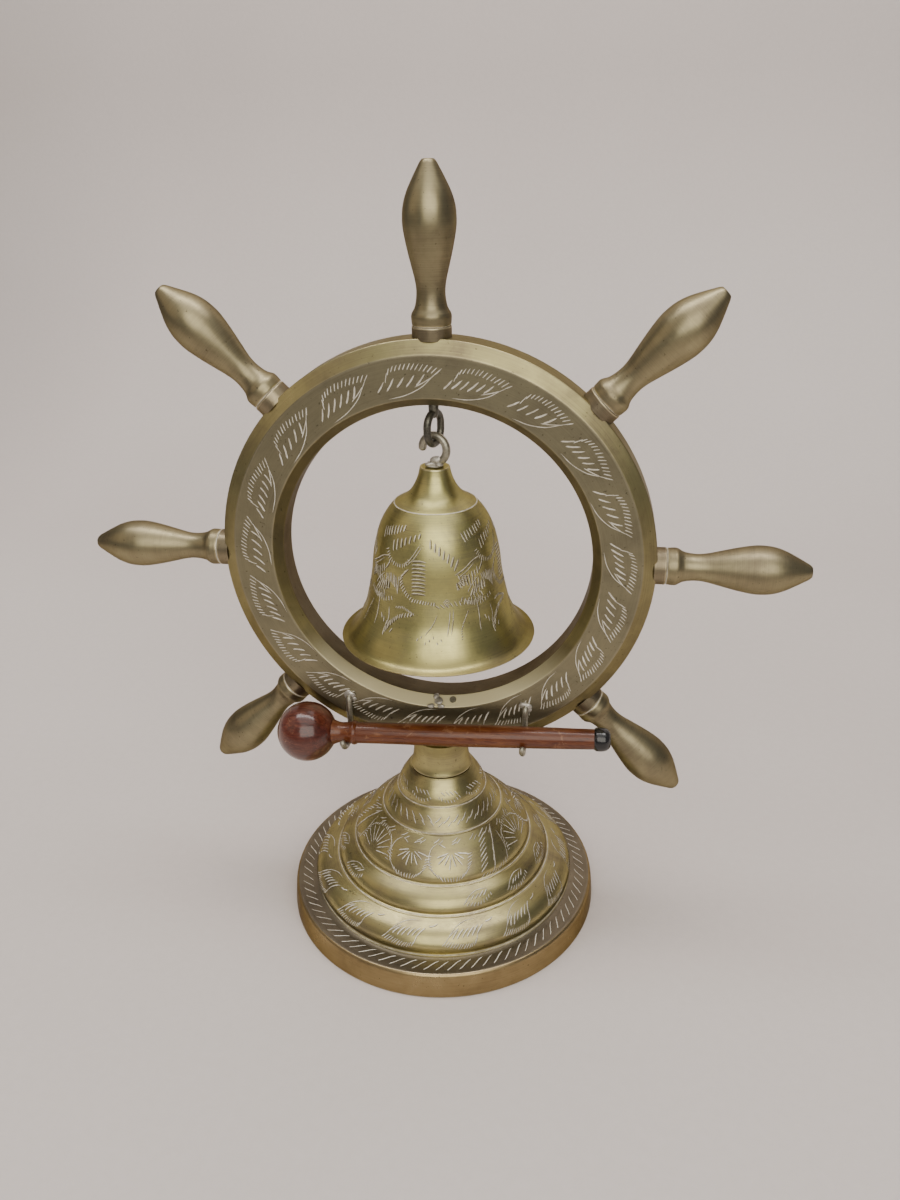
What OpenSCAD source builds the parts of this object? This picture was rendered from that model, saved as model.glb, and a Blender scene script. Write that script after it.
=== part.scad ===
// Desk ship bell: a ship's-wheel frame on a turned pedestal, a bell on a wire hook and a mallet.
// Origin: the middle of the pedestal's underside. +Z up, the wheel's face towards -Y.

/* [Wheel] */
// Height of the wheel's centre above the table
wheel_z = 161; // [160:0.5:163]
// Outer radius of the rim
rim_r = 83; // [82.5:0.1:83.5]
// Inner radius of the rim
rim_inner_r = 59.5; // [59:0.1:60]
// Thickness of the rim from face to face
rim_t = 17.4; // [17:0.1:18]
// Number of handle places round the rim, one of them taken by the pedestal
spoke_count = 8; // [8]

/* [Handles] */
// Radius of the collar under each handle
collar_r = 7; // [6.5:0.1:7.5]
// Length of the collar
collar_len = 3.4; // [3:0.1:4]
// Length of each turned handle
handle_len = 52.4; // [48:0.5:56]
// Largest radius of each handle
handle_r = 9.1; // [8.4:0.1:10]
// Radius of the threaded studs
stud_r = 2.5; // [2:0.1:3]

/* [Pedestal] */
// Radius of the pedestal's foot
base_r = 66.8; // [64:0.2:70]
// Height of the hollow pedestal
base_h = 66; // [65:0.5:67]
// Radius of the bolt that holds wheel, column and pedestal together
bolt_r = 3; // [2.5:0.1:3.5]

/* [Bell] */
// Height of the bell's lip above the table
lip_z = 129; // [128:0.5:131]
// Radius of the bell's mouth
mouth_r = 38.2; // [37:0.2:39]
// Height of the bell from lip to crown
bell_h = 68; // [67.8:0.1:68.2]
// Radius of the eye's wire
eye_wire_r = 1.4; // [1.3:0.05:1.5]
// Radius of the bell hook's wire
hook_wire_r = 1.45; // [1.3:0.05:1.5]

/* [Mallet] */
// Radius of the wooden ball
ball_r = 12.2; // [11:0.1:12.4]
// Radius of the wooden shaft at its thickest
shaft_r = 4.55; // [4.3:0.05:4.6]
// Length from the middle of the ball to the far end of the cap
mallet_len = 122.7; // [115:0.5:128]
// Angle of the mallet to the table, its ball end low
mallet_tilt = 2.8; // [2:0.1:3.5]
// Radius of the wire hooks that carry the mallet
cradle_wire_r = 1.2; // [1:0.05:1.3]

/* [Hidden] */
$fn = 96;

fixed_gap = 0.05;   // radial room round a stud, bolt or pin in its hole
loose_gap = 0.3;    // room between pieces that move apart
tiny = 0.01;        // cutters run this far past a face
tie_proud = 0.02;   // how far a tie stands out round its wire

brass = [0.46, 0.40, 0.28];
brass_bright = [0.68, 0.62, 0.42];
wire_grey = [0.50, 0.49, 0.43];
solder_grey = [0.66, 0.65, 0.60];
steel = [0.60, 0.60, 0.58];
wood_red = [0.36, 0.13, 0.08];
wood_light = [0.52, 0.24, 0.13];
gloss_black = [0.03, 0.03, 0.03];

// rim
chamfer_out_w = 5.1;    // outer chamfer: width across the face, depth along Y
chamfer_out_d = 2.9;
chamfer_in_w = 3.3;     // inner front chamfer
chamfer_in_d = 4.5;
chamfer_back_w = 2.2;   // inner back chamfer
chamfer_back_d = 3.0;
rim_face_y = rim_t / 2;
last_spoke = spoke_count - 2;

// handle
handle_foot = rim_r + collar_len;
stud_in_rim = 9;
stud_in_handle = 12;
collar_seat = 1;        // depth of the flat spot sunk into the rim under a collar

// locking pin and solder scar beside the bottom of the wheel
pin_r = 1.4;
pin_len = 6;
pin_proud = 0.15;
pin_angle = 6;
pin_across = 0.4;
scar_angle = 0.5;

// pedestal
neck_r = 13.2;
column_bore_r = bolt_r + fixed_gap;
base_roof_z = base_h - 3.6;
washer_t = 1.5;
washer_r = 8;
bolt_head_h = 4;
bolt_head_r = 5.8;
bolt_in_rim = 13;

// screw eye
eye_loop_r = 5;         // radius of the loop's round ends, to the wire's centre
eye_straight = 1.5;
eye_turn = 70;          // direction of the loop's plane, from +X
eye_bottom_z = 205.4;   // centre of the wire at the loop's lowest point
eye_shank_r = 1.85;
eye_screw_len = 9;
rim_inner_top = wheel_z + rim_inner_r;
eye_top_z = eye_bottom_z + 2 * eye_loop_r + eye_straight;

// bell hook: a question mark that hangs in the eye
pivot_z = eye_bottom_z + eye_wire_r + hook_wire_r + 0.15;
hook_r = 5;
hook_turn = eye_turn - 90;
hook_sweep = 75;        // how far the hook's curve runs on below its side
foot_curve_r = hook_r * cos(hook_sweep) / (1 - cos(hook_sweep));
hook_centre_z = pivot_z - hook_r;
hook_foot_z = hook_centre_z - (hook_r + foot_curve_r) * sin(hook_sweep);
crown_z = lip_z + bell_h;
bell_roof_z = crown_z - 16;
nut_h = 2.4;
nut_r = 3.1;
crown_washer_t = 0.8;
crown_washer_r = 4;

// mallet and its two wire hooks
cradle_x = 36;                                   // distance of each hook from the middle
cradle_r = 7;                                    // radius of the hook's curve
cradle_tip = 70;                                 // how far the tip comes up, from the lowest point
root_bend_r = 1.5;
cradle_root_z = wheel_z - 60;
cradle_shank_y = -rim_face_y - root_bend_r;
mallet_y = cradle_shank_y - cradle_r;
mallet_z = 90.4;                                 // height of the shaft above x = 0
mallet_ball_x = -52.5;
cap_len = 6.3;
cap_r = 4.65;
neck_wood_r = 4.1;
bead_x = 20;                                     // from the ball's middle
shaft_end_r = 4.0;
tenon_r = 2.5;
tenon_len = 7;
root_peg = 5;

// ---- curves ----

// A smooth curve through points, steps pieces between each pair
function curve(p, steps) = [
  for (i = [0 : len(p) - 2]) for (k = [0 : steps - 1])
    spline_at(p[max(i - 1, 0)], p[i], p[i + 1], p[min(i + 2, len(p) - 1)], k / steps),
  p[len(p) - 1]
];
function spline_at(a, b, c, d, t) =
  0.5 * (2 * b + (c - a) * t + (2 * a - 5 * b + 4 * c - d) * t * t + (3 * b - a - 3 * c + d) * t * t * t);

// A turned solid from an outline of [radius, height] points
module turned(points) rotate_extrude() polygon(points);

// A bent wire: an arc in the XZ plane about the origin, from angle a, turning by sweep
module wire_arc(r, wire, a, sweep) {
  rotate([90, 0, 0]) rotate([0, 0, a])
    rotate_extrude(angle = sweep, $fn = 64) translate([r, 0]) circle(wire, $fn = 32);
}

// A band a hair wider than its wire, which ties two lengths of wire into one solid; local +Z along the wire
module wire_tie(wire) cylinder(r = wire + tie_proud, h = 0.1, center = true, $fn = 32);

// Puts a piece on a spoke: its local +Z runs outwards from the wheel's centre
function spoke_angle(i) = 90 - (i + (i > spoke_count / 2 - 1 ? 1 : 0)) * 360 / spoke_count;
module on_spoke(i) translate([0, 0, wheel_z]) rotate([0, 90 - spoke_angle(i), 0]) children();

// ---- wheel ----

rim_outline = [
  [rim_inner_r, -rim_face_y + chamfer_in_d],
  [rim_inner_r + chamfer_in_w, -rim_face_y],
  [rim_r - chamfer_out_w, -rim_face_y],
  [rim_r, -rim_face_y + chamfer_out_d],
  [rim_r, rim_face_y - chamfer_out_d],
  [rim_r - chamfer_out_w, rim_face_y],
  [rim_inner_r + chamfer_back_w, rim_face_y],
  [rim_inner_r, rim_face_y - chamfer_back_d]
];

module rim_solid() {
  translate([0, 0, wheel_z]) rotate([-90, 0, 0]) turned(rim_outline);
}

module wheel_rim() {
  color(brass) difference() {
    rim_solid();
    for (i = [0 : last_spoke]) on_spoke(i) {
      translate([0, 0, rim_r - collar_seat]) cylinder(r = collar_r + fixed_gap, h = collar_seat + 1);
      translate([0, 0, rim_r - stud_in_rim - fixed_gap]) cylinder(r = stud_r + fixed_gap, h = stud_in_rim + 1);
    }
    translate([0, 0, wheel_z - rim_r - 1]) cylinder(r = column_bore_r, h = bolt_in_rim + 1 + fixed_gap);
    translate([0, 0, rim_inner_top - 1]) cylinder(r = eye_wire_r + fixed_gap, h = eye_screw_len + 1);
    for (side = [-1, 1])
      translate([side * cradle_x, -rim_face_y - 1, cradle_root_z]) rotate([-90, 0, 0])
        cylinder(r = cradle_wire_r + fixed_gap, h = root_peg + 1 + fixed_gap);
    on_chamfer(pin_angle, pin_across) translate([0, 0, -pin_len - fixed_gap])
      cylinder(r = pin_r + fixed_gap, h = pin_len + 2, $fn = 48);
  }
}

// Puts a piece on the inner front chamfer, local +Z square to it: angle from the bottom of the
// wheel, and how far across the chamfer towards the face, from 0 to 1
module on_chamfer(angle, across) {
  translate([0, 0, wheel_z]) rotate([0, -angle, 0])
    translate([0, -rim_face_y + chamfer_in_d * (1 - across), -rim_inner_r - chamfer_in_w * across])
      rotate([atan2(chamfer_in_w, chamfer_in_d), 0, 0]) children();
}

module locking_pin() {
  color(wire_grey) on_chamfer(pin_angle, pin_across) translate([0, 0, -pin_len])
    cylinder(r = pin_r, h = pin_len + pin_proud, $fn = 48);
}

// A drop of solder left on the chamfer, over the end of the column bolt's hole
module solder_scar() {
  scar_r = 2.6;
  scar_h = 1.3;
  color(solder_grey) on_chamfer(scar_angle, 0.5) translate([0, 0, 0.08])
    turned([[0, 0], [scar_r, 0], [scar_r * 0.9, scar_h * 0.45], [scar_r * 0.6, scar_h * 0.85], [0, scar_h]]);
}

// ---- handles ----

// Outline of a handle from its foot (height 0) to its tip; radii in parts of the largest
handle_shape = [
  [0.745, 0], [0.765, 0.03], [0.765, 0.075], [0.62, 0.125], [0.552, 0.20], [0.58, 0.275], [0.72, 0.38],
  [0.87, 0.49], [0.98, 0.595], [1.0, 0.66], [0.96, 0.735], [0.83, 0.81], [0.62, 0.885], [0.40, 0.955],
  [0.30, 0.985], [0.22, 1.0]
];
module handle(i) {
  side = curve([for (p = handle_shape) [p[0] * handle_r, p[1] * handle_len]], 3);
  color(brass) on_spoke(i) translate([0, 0, handle_foot]) difference() {
    turned(concat([[0, 0]], side, [[0, handle_len]]));
    translate([0, 0, -1]) cylinder(r = stud_r + fixed_gap, h = stud_in_handle + 1 + fixed_gap);
  }
}

module collar(i) {
  rim_edge = 0.4;
  color(brass) on_spoke(i) translate([0, 0, rim_r - collar_seat]) difference() {
    turned([
      [0, 0], [collar_r, 0], [collar_r, collar_seat + collar_len - rim_edge],
      [collar_r - rim_edge, collar_seat + collar_len], [0, collar_seat + collar_len]
    ]);
    translate([0, 0, -1]) cylinder(r = stud_r + fixed_gap, h = collar_seat + collar_len + 2);
  }
}

module handle_studs() {
  color(steel) for (i = [0 : last_spoke]) on_spoke(i)
    translate([0, 0, rim_r - stud_in_rim])
      cylinder(r = stud_r, h = stud_in_rim + collar_len + stud_in_handle);
}

// ---- pedestal ----

// The outside of the pedestal, foot to neck: a flat ledge, three ovolos and two narrow bands
ledge_z = 10.8;
base_outside = concat(
  [[base_r, 0], [base_r, 1.2], [base_r - 0.7, 9.6], [base_r - 1.6, ledge_z], [55.4, ledge_z + 0.3]],
  curve([[54.9, 11.4], [57.0, 13.9], [56.2, 17], [53.0, 20.2], [47.0, 22.7]], 4),
  [[46.0, 22.7]],
  curve([[45.8, 23.0], [45.6, 25.6], [43.4, 28.6], [39.2, 31.1]], 4),
  [[38.3, 31.2]],
  curve([[37.9, 31.6], [37.6, 34.4], [35.0, 38.4], [31.0, 42.8], [26.2, 46.9]], 4),
  [[25.2, 47.2]],
  curve([[24.9, 47.6], [23.4, 50.2], [20.6, 53.4], [19.4, 55.3]], 3),
  [[18.9, 55.5]],
  curve([[18.7, 55.9], [17.9, 58.9], [15.8, 62.6], [13.7, 65.6]], 3),
  [[neck_r, base_h]]
);
base_inside = [
  [base_r - 3.3, 0], [base_r - 3.8, 7.4], [52.4, 8.2], [51.6, 17], [43.0, 20], [42.0, 26.4],
  [35.0, 28.8], [33.6, 35.4], [23.0, 43.8], [21.0, 48.6], [10.4, 56.2], [10.4, base_roof_z], [0, base_roof_z]
];

module base_shell() {
  color(brass) difference() {
    turned(concat([[0, 0]], base_outside, [[0, base_h]]));
    turned(concat([[0, -tiny], [base_r - 3.3, -tiny]], base_inside));
    translate([0, 0, base_roof_z - 1]) cylinder(r = column_bore_r, h = base_h);
  }
}

module column() {
  column_top = wheel_z - rim_r + 2.6;
  color(brass) difference() {
    turned(concat(
      [[0, base_h]],
      curve([[neck_r - 0.3, base_h], [12.1, 69], [11.55, 73], [11.6, 76], [12.2, column_top]], 4),
      [[0, column_top]]
    ));
    translate([0, 0, wheel_z]) rotate([-90, 0, 0]) turned([
      [0, -rim_face_y - fixed_gap], [rim_r - chamfer_out_w + fixed_gap, -rim_face_y - fixed_gap],
      [rim_r + fixed_gap, -rim_face_y + chamfer_out_d], [rim_r + fixed_gap, rim_face_y - chamfer_out_d],
      [rim_r - chamfer_out_w + fixed_gap, rim_face_y + fixed_gap], [0, rim_face_y + fixed_gap]
    ]);
    translate([0, 0, base_h - 1]) cylinder(r = column_bore_r, h = 30);
  }
}

module column_bolt() {
  head_top = base_roof_z - washer_t;
  color(steel) union() {
    translate([0, 0, head_top - bolt_head_h]) cylinder(r = bolt_head_r, h = bolt_head_h, $fn = 6);
    translate([0, 0, head_top - tiny]) cylinder(r = bolt_r, h = wheel_z - rim_r + bolt_in_rim - head_top);
  }
}

module column_washer() {
  color(steel) translate([0, 0, base_roof_z - washer_t]) difference() {
    cylinder(r = washer_r, h = washer_t);
    translate([0, 0, -1]) cylinder(r = column_bore_r, h = washer_t + 2);
  }
}

// ---- bell and its hook ----

module screw_eye() {
  low = eye_bottom_z + eye_loop_r;
  color(wire_grey) rotate([0, 0, eye_turn]) union() {
    translate([0, 0, low]) wire_arc(eye_loop_r, eye_wire_r, 180, 180);
    translate([0, 0, low + eye_straight]) wire_arc(eye_loop_r, eye_wire_r, 0, 180);
    for (side = [-1, 1]) translate([side * eye_loop_r, 0, low]) cylinder(r = eye_wire_r, h = eye_straight, $fn = 32);
    translate([0, 0, eye_top_z]) cylinder(r = eye_shank_r, h = rim_inner_top - eye_top_z - 0.3, $fn = 48);
    translate([0, 0, eye_top_z]) cylinder(r = eye_wire_r, h = rim_inner_top + eye_screw_len - 1 - eye_top_z);
  }
}

// The bell's wall, from the lip's outer edge up to the crown; heights from the lip
bell_outside = concat(
  [[mouth_r - 0.4, 0], [mouth_r, 0.3]],
  curve([[mouth_r, 0.5], [35.8, 2.0], [33.2, 3.8], [31.2, 6.4], [29.8, 9.5], [28.0, 14], [26.6, 20], [25.2, 27],
    [24.2, 35], [22.6, 42], [20.8, 47], [18.5, 51], [15.8, 54.3]], 3),
  [[15.0, 54.7]],
  curve([[14.7, 54.95], [12.6, 56.1], [10.4, 57.7], [8.7, 59.7], [7.3, 62.2], [6.3, 64.8], [5.8, 67.2]], 3),
  [[5.4, bell_h]]
);
bell_inside = concat(
  curve([[mouth_r - 1.4, 0], [33.4, 2.2], [30.6, 4.8], [28.6, 8.2], [26.8, 13], [25.0, 20], [23.6, 27],
    [22.4, 35], [20.6, 41.5], [18.0, 46.6], [13.6, 50.6]], 4),
  [[crown_washer_r + 1, bell_roof_z - lip_z], [0, bell_roof_z - lip_z]]
);

module bell() {
  color(brass_bright) translate([0, 0, lip_z]) difference() {
    turned(concat([[0, 0]], bell_outside, [[0, bell_h]]));
    turned(concat([[0, -tiny], [mouth_r - 1.4, -tiny]], bell_inside));
    cylinder(r = hook_wire_r + fixed_gap, h = bell_h + 1);
  }
}

module bell_hook() {
  shank_end_z = bell_roof_z - crown_washer_t - nut_h - 0.6;
  color(wire_grey) rotate([0, 0, hook_turn]) union() {
    translate([0, 0, hook_centre_z]) {
      wire_arc(hook_r, hook_wire_r, -hook_sweep, 180 + hook_sweep);
      translate([-hook_r, 0, 0]) sphere(hook_wire_r, $fn = 32);
    }
    translate([0, 0, hook_centre_z]) rotate([0, hook_sweep, 0]) translate([hook_r, 0, 0]) wire_tie(hook_wire_r);
    translate([foot_curve_r, 0, hook_foot_z]) wire_arc(foot_curve_r, hook_wire_r, 180 - hook_sweep, hook_sweep);
    translate([0, 0, shank_end_z])
      cylinder(r = hook_wire_r + tie_proud, h = hook_foot_z - shank_end_z + 0.04, $fn = 32);
  }
}

module crown_washer() {
  color(steel) translate([0, 0, bell_roof_z - crown_washer_t]) difference() {
    cylinder(r = crown_washer_r, h = crown_washer_t);
    translate([0, 0, -1]) cylinder(r = hook_wire_r + fixed_gap, h = crown_washer_t + 2);
  }
}

module crown_nut() {
  color(steel) translate([0, 0, bell_roof_z - crown_washer_t - nut_h]) difference() {
    cylinder(r = nut_r, h = nut_h, $fn = 6);
    translate([0, 0, -1]) cylinder(r = hook_wire_r + fixed_gap, h = nut_h + 2);
  }
}

// A low ring of solder on the crown, kept under the curve of the wire
module crown_solder() {
  bead_in = hook_wire_r + 0.75;
  bead_out = 3.5;
  bead_h = 0.45;
  color(solder_grey) translate([0, 0, crown_z]) turned([
    [bead_in, 0], [bead_out, 0], [bead_out - 0.3, bead_h * 0.9], [bead_out - 0.7, bead_h], [bead_in, bead_h * 0.45]
  ]);
}

// ---- mallet hooks ----

// Height of the mallet's centre line above x
function mallet_height(x) = mallet_z + x * tan(mallet_tilt);

// A J of wire at x that carries wood of radius wood_r: peg in the rim, bend, shank, cradle
module cradle_wire(x, wood_r) {
  centre_z = mallet_height(x) + cradle_r - cradle_wire_r - wood_r - loose_gap;
  translate([x, 0, 0]) rotate([0, 0, 90]) {
    // here local X is the row's +Y
    translate([-rim_face_y, 0, cradle_root_z]) rotate([0, 90, 0])
      cylinder(r = cradle_wire_r, h = root_peg, $fn = 32);
    translate([-rim_face_y, 0, cradle_root_z]) rotate([0, 90, 0]) wire_tie(cradle_wire_r);
    translate([-rim_face_y, 0, cradle_root_z - root_bend_r]) wire_arc(root_bend_r, cradle_wire_r, 90, 90);
    translate([cradle_shank_y, 0, cradle_root_z - root_bend_r]) wire_tie(cradle_wire_r);
    translate([cradle_shank_y, 0, centre_z]) wire_tie(cradle_wire_r);
    translate([cradle_shank_y, 0, centre_z])
      cylinder(r = cradle_wire_r, h = cradle_root_z - root_bend_r - centre_z, $fn = 32);
    translate([mallet_y, 0, centre_z]) {
      wire_arc(cradle_r, cradle_wire_r, -90 - cradle_tip, 90 + cradle_tip);
      rotate([0, cradle_tip, 0]) translate([0, 0, -cradle_r]) sphere(cradle_wire_r, $fn = 32);
    }
  }
}
module mallet_hook_left() {
  color(wire_grey) cradle_wire(-cradle_x, neck_wood_r);
}
module mallet_hook_right() {
  color(wire_grey) cradle_wire(cradle_x, shaft_r);
}

module hook_solder() {
  bead_r = 2.5;
  color(solder_grey) difference() {
    for (side = [-1, 1]) translate([side * cradle_x, -rim_face_y + 0.7, cradle_root_z]) sphere(bead_r, $fn = 40);
    rim_solid();
    for (side = [-1, 1]) translate([side * cradle_x, 0, 0]) rotate([0, 0, 90])
      translate([-rim_face_y, 0, cradle_root_z - root_bend_r]) {
        wire_arc(root_bend_r, cradle_wire_r + fixed_gap, 90, 90);
        translate([-root_bend_r, 0, -4]) cylinder(r = cradle_wire_r + fixed_gap, h = 4, $fn = 32);
      }
  }
}

// ---- mallet ----

// Puts a turned piece on the mallet's line: local +Z from the ball towards the cap
module on_mallet() {
  translate([mallet_ball_x, mallet_y, mallet_height(mallet_ball_x)]) rotate([0, 90 - mallet_tilt, 0]) children();
}
ball_seat = sqrt(ball_r * ball_r - neck_wood_r * neck_wood_r) - 0.3;
cap_start = mallet_len - cap_len;

module mallet_head() {
  color(wood_red) on_mallet() difference() {
    sphere(ball_r, $fn = 96);
    translate([0, 0, ball_seat]) cylinder(r = ball_r, h = ball_r);
    translate([0, 0, ball_seat - tenon_len - fixed_gap]) cylinder(r = tenon_r + fixed_gap, h = ball_r);
  }
}

module mallet_shaft() {
  side = concat(
    curve([[5.1, ball_seat], [neck_wood_r + 0.1, ball_seat + 2.6], [neck_wood_r, ball_seat + 4.8], [4.5, bead_x - 1.2]], 4),
    curve([[4.75, bead_x - 0.9], [4.95, bead_x], [4.6, bead_x + 1]], 3),
    curve([[4.3, bead_x + 1.3], [4.3, 38], [shaft_r, 62], [4.35, 88], [shaft_end_r, cap_start]], 4)
  );
  color(wood_light) on_mallet() turned(concat(
    [[0, ball_seat - tenon_len], [tenon_r, ball_seat - tenon_len], [tenon_r, ball_seat]],
    side,
    [[tenon_r, cap_start], [tenon_r, cap_start + 3.6], [0, cap_start + 3.6]]
  ));
}

module mallet_cap() {
  side = curve([[cap_r - 0.5, 0], [cap_r, 0.9], [cap_r, 3.2], [cap_r - 0.6, 5.0], [cap_r - 2.0, 6.1], [1.2, cap_len]], 3);
  color(gloss_black) on_mallet() translate([0, 0, cap_start]) difference() {
    turned(concat([[0, 0]], side, [[0, cap_len]]));
    translate([0, 0, -1]) cylinder(r = tenon_r + fixed_gap, h = 4.7);
  }
}

base_shell();
column();
column_bolt();
column_washer();
wheel_rim();
handle(0);  // handle_1
handle(1);  // handle_2
handle(2);  // handle_3
handle(3);  // handle_4
handle(4);  // handle_5
handle(5);  // handle_6
handle(6);  // handle_7
collar(0);  // collar_1
collar(1);  // collar_2
collar(2);  // collar_3
collar(3);  // collar_4
collar(4);  // collar_5
collar(5);  // collar_6
collar(6);  // collar_7
handle_studs();
locking_pin();
solder_scar();
screw_eye();
bell();
bell_hook();
crown_washer();
crown_nut();
crown_solder();
mallet_hook_left();
mallet_hook_right();
hook_solder();
mallet_head();
mallet_shaft();
mallet_cap();
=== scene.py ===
"""Looks of the ship bell in its ship's-wheel stand. Sizes are in millimetres and follow the CAD frame."""
import math
import random

import bpy
import numpy as np
from mathutils import Matrix, Vector


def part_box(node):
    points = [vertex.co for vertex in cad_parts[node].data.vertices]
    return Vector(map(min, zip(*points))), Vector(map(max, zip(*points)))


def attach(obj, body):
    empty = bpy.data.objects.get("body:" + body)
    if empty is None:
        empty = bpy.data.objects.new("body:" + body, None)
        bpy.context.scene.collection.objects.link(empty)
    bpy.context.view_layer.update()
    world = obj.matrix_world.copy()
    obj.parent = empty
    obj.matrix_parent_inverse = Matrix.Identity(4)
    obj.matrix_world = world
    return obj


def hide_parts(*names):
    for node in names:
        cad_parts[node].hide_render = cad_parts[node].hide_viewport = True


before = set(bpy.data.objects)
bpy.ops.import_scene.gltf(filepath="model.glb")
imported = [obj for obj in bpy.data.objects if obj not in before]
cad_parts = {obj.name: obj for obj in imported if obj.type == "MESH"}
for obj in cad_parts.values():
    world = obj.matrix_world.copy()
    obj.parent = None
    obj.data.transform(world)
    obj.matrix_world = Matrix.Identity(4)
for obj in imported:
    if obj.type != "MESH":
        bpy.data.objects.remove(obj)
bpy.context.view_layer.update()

MM = 0.001
SEED = 7


def box_mm(node):
    """A CAD node's lowest and highest corner in millimetres."""
    low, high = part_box(node)
    return np.array(low) / MM, np.array(high) / MM


# ---- sizes that come from the frame ----

rim_low, rim_high = box_mm("wheel_rim")
WHEEL_Z = (rim_low[2] + rim_high[2]) / 2
RIM_R = (rim_high[0] - rim_low[0]) / 2
FACE_Y = rim_low[1]
RIM_HALF = (rim_high[1] - rim_low[1]) / 2
BASE_R, BASE_H = box_mm("base_shell")[1][[0, 2]]
bell_low, bell_high = box_mm("bell")
LIP_Z = bell_low[2]
MOUTH_R = (bell_high[0] - bell_low[0]) / 2
BELL_H = bell_high[2] - bell_low[2]

# ---- sizes repeated from the CAD source ----

RIM_INNER_R = 59.5
CHAMFER_OUT = (5.1, 2.9)
CHAMFER_IN = (3.3, 4.5)
CHAMFER_BACK = (2.2, 3.0)
COLLAR_R = 7.0
COLLAR_LEN = 3.4
HANDLE_R = 9.1
HANDLE_LEN = 52.4
HANDLE_SHAPE = [
    (0.745, 0), (0.765, 0.03), (0.765, 0.075), (0.62, 0.125), (0.552, 0.20), (0.58, 0.275), (0.72, 0.38),
    (0.87, 0.49), (0.98, 0.595), (1.0, 0.66), (0.96, 0.735), (0.83, 0.81), (0.62, 0.885), (0.40, 0.955),
    (0.30, 0.985), (0.22, 1.0),
]
SPOKES = 8

EYE_WIRE_R = 1.4
EYE_LOOP_R = 5.0
EYE_STRAIGHT = 1.5
EYE_TURN = 70.0
EYE_BOTTOM_Z = 205.4
EYE_SHANK_R = 1.85
HOOK_WIRE_R = 1.45
HOOK_SWELL = 1.06
HOOK_R = 5.0
HOOK_TURN = -20.0
HOOK_SWEEP = 75.0
HOOK_TIP = 8.0
HOOK_END_Z = 177.3
FOOT_TURN = 68.0
PIVOT_Z = 208.4
CROWN_Z = LIP_Z + BELL_H

CRADLE_X = 36.0
CRADLE_WIRE_R = 1.2
CRADLE_R = 7.0
CRADLE_TIP = 70.0
CRADLE_ROOT_Z = WHEEL_Z - 60
ROOT_BEND_R = 1.5
ROOT_DEEP = 4.6
LOOSE_GAP = 0.3
MALLET_Y = FACE_Y - ROOT_BEND_R - CRADLE_R
MALLET_Z = 90.4
MALLET_TILT = 2.8
MALLET_BALL_X = -52.5
MALLET_LEN = 122.7
BALL_R = 12.2
NECK_WOOD_R = 4.1
SHAFT_R = 4.55
SHAFT_END_R = 4.0
BEAD_X = 20.0
CAP_LEN = 6.3
CAP_R = 4.65

# ---- curves and outlines ----


def spline(points, steps):
    """A smooth curve through points, with steps pieces between each pair, as in the CAD source."""
    p = [np.array(q, float) for q in points]
    out = []
    for i in range(len(p) - 1):
        a, b, c, d = p[max(i - 1, 0)], p[i], p[i + 1], p[min(i + 2, len(p) - 1)]
        for k in range(steps):
            t = k / steps
            out.append(0.5 * (2 * b + (c - a) * t + (2 * a - 5 * b + 4 * c - d) * t * t
                              + (3 * b - a - 3 * c + d) * t ** 3))
    out.append(p[-1])
    return [(float(q[0]), float(q[1])) for q in out]


def distances(points):
    """How far along a line each of its points lies."""
    return np.concatenate([[0], np.cumsum(np.hypot(*np.diff(points, axis=0).T))])


class Outline:
    """A turned piece's outline: points, how worn each is, and the material number of the length after it."""

    def __init__(self):
        self.points = []
        self.edge = []
        self.skin = []

    def add(self, points, edge=0.0, skin=0):
        for p in points:
            self.points.append((float(p[0]), float(p[1])))
            self.edge.append(edge)
            self.skin.append(skin)
        return self

    def corner(self, before, at, after, size=0.35, worn=1.0, skins=(0, 0)):
        """Rounds a corner and marks it as a worn edge; skins are the materials before and after it."""
        a, b, c = (np.array(q, float) for q in (before, at, after))
        back, on = (a - b) / np.linalg.norm(a - b), (c - b) / np.linalg.norm(c - b)
        self.add([b + back * size * 2.2], 0.0, skins[0])
        for t in (0.0, 0.33, 0.67, 1.0):
            bend = (b + back * size) * (1 - t) ** 2 + b * 2 * t * (1 - t) + (b + on * size) * t * t
            self.add([bend], worn, skins[0 if t < 0.5 else 1])
        self.add([b + on * size * 2.2], 0.0, skins[1])
        return self

    def groove(self, start, end, depth, width=0.42):
        """A V cut in the middle of the line from start to end, sunk to its left by depth."""
        a, b = np.array(start, float), np.array(end, float)
        way = (b - a) / np.linalg.norm(b - a)
        inward = np.array([-way[1], way[0]])
        middle = (a + b) / 2
        self.add([a], 0.2)
        self.add([middle - way * width / 2], 0.2, 1)
        self.add([middle + inward * depth], 0.0, 1)
        self.add([middle + way * width / 2, b], 0.2)
        return self

    def loop(self, corners, size, worn, skins):
        """A closed outline with every corner rounded; one material number for the side after each corner."""
        n = len(corners)
        for i in range(n):
            self.corner(corners[i - 1], corners[i], corners[(i + 1) % n], size, worn, (skins[i - 1], skins[i]))
        self.add([self.points[0]])
        return self


class Frame:
    """Where a turned piece stands: its origin in millimetres and three axes, local Z along its own axis."""

    def __init__(self, origin, x, y, z):
        self.origin = np.array(origin, float)
        self.axes = np.array([x, y, z], float)

    def place(self, local):
        return self.origin + np.asarray(local, float) @ self.axes


FRONT = -math.pi / 2  # the front of an upright turned piece
UPRIGHT = Frame((0, 0, 0), (1, 0, 0), (0, 1, 0), (0, 0, 1))
WHEEL = Frame((0, 0, WHEEL_Z), (0, 0, 1), (1, 0, 0), (0, 1, 0))
BELL = Frame((0, 0, LIP_Z), (1, 0, 0), (0, 1, 0), (0, 0, 1))


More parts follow.
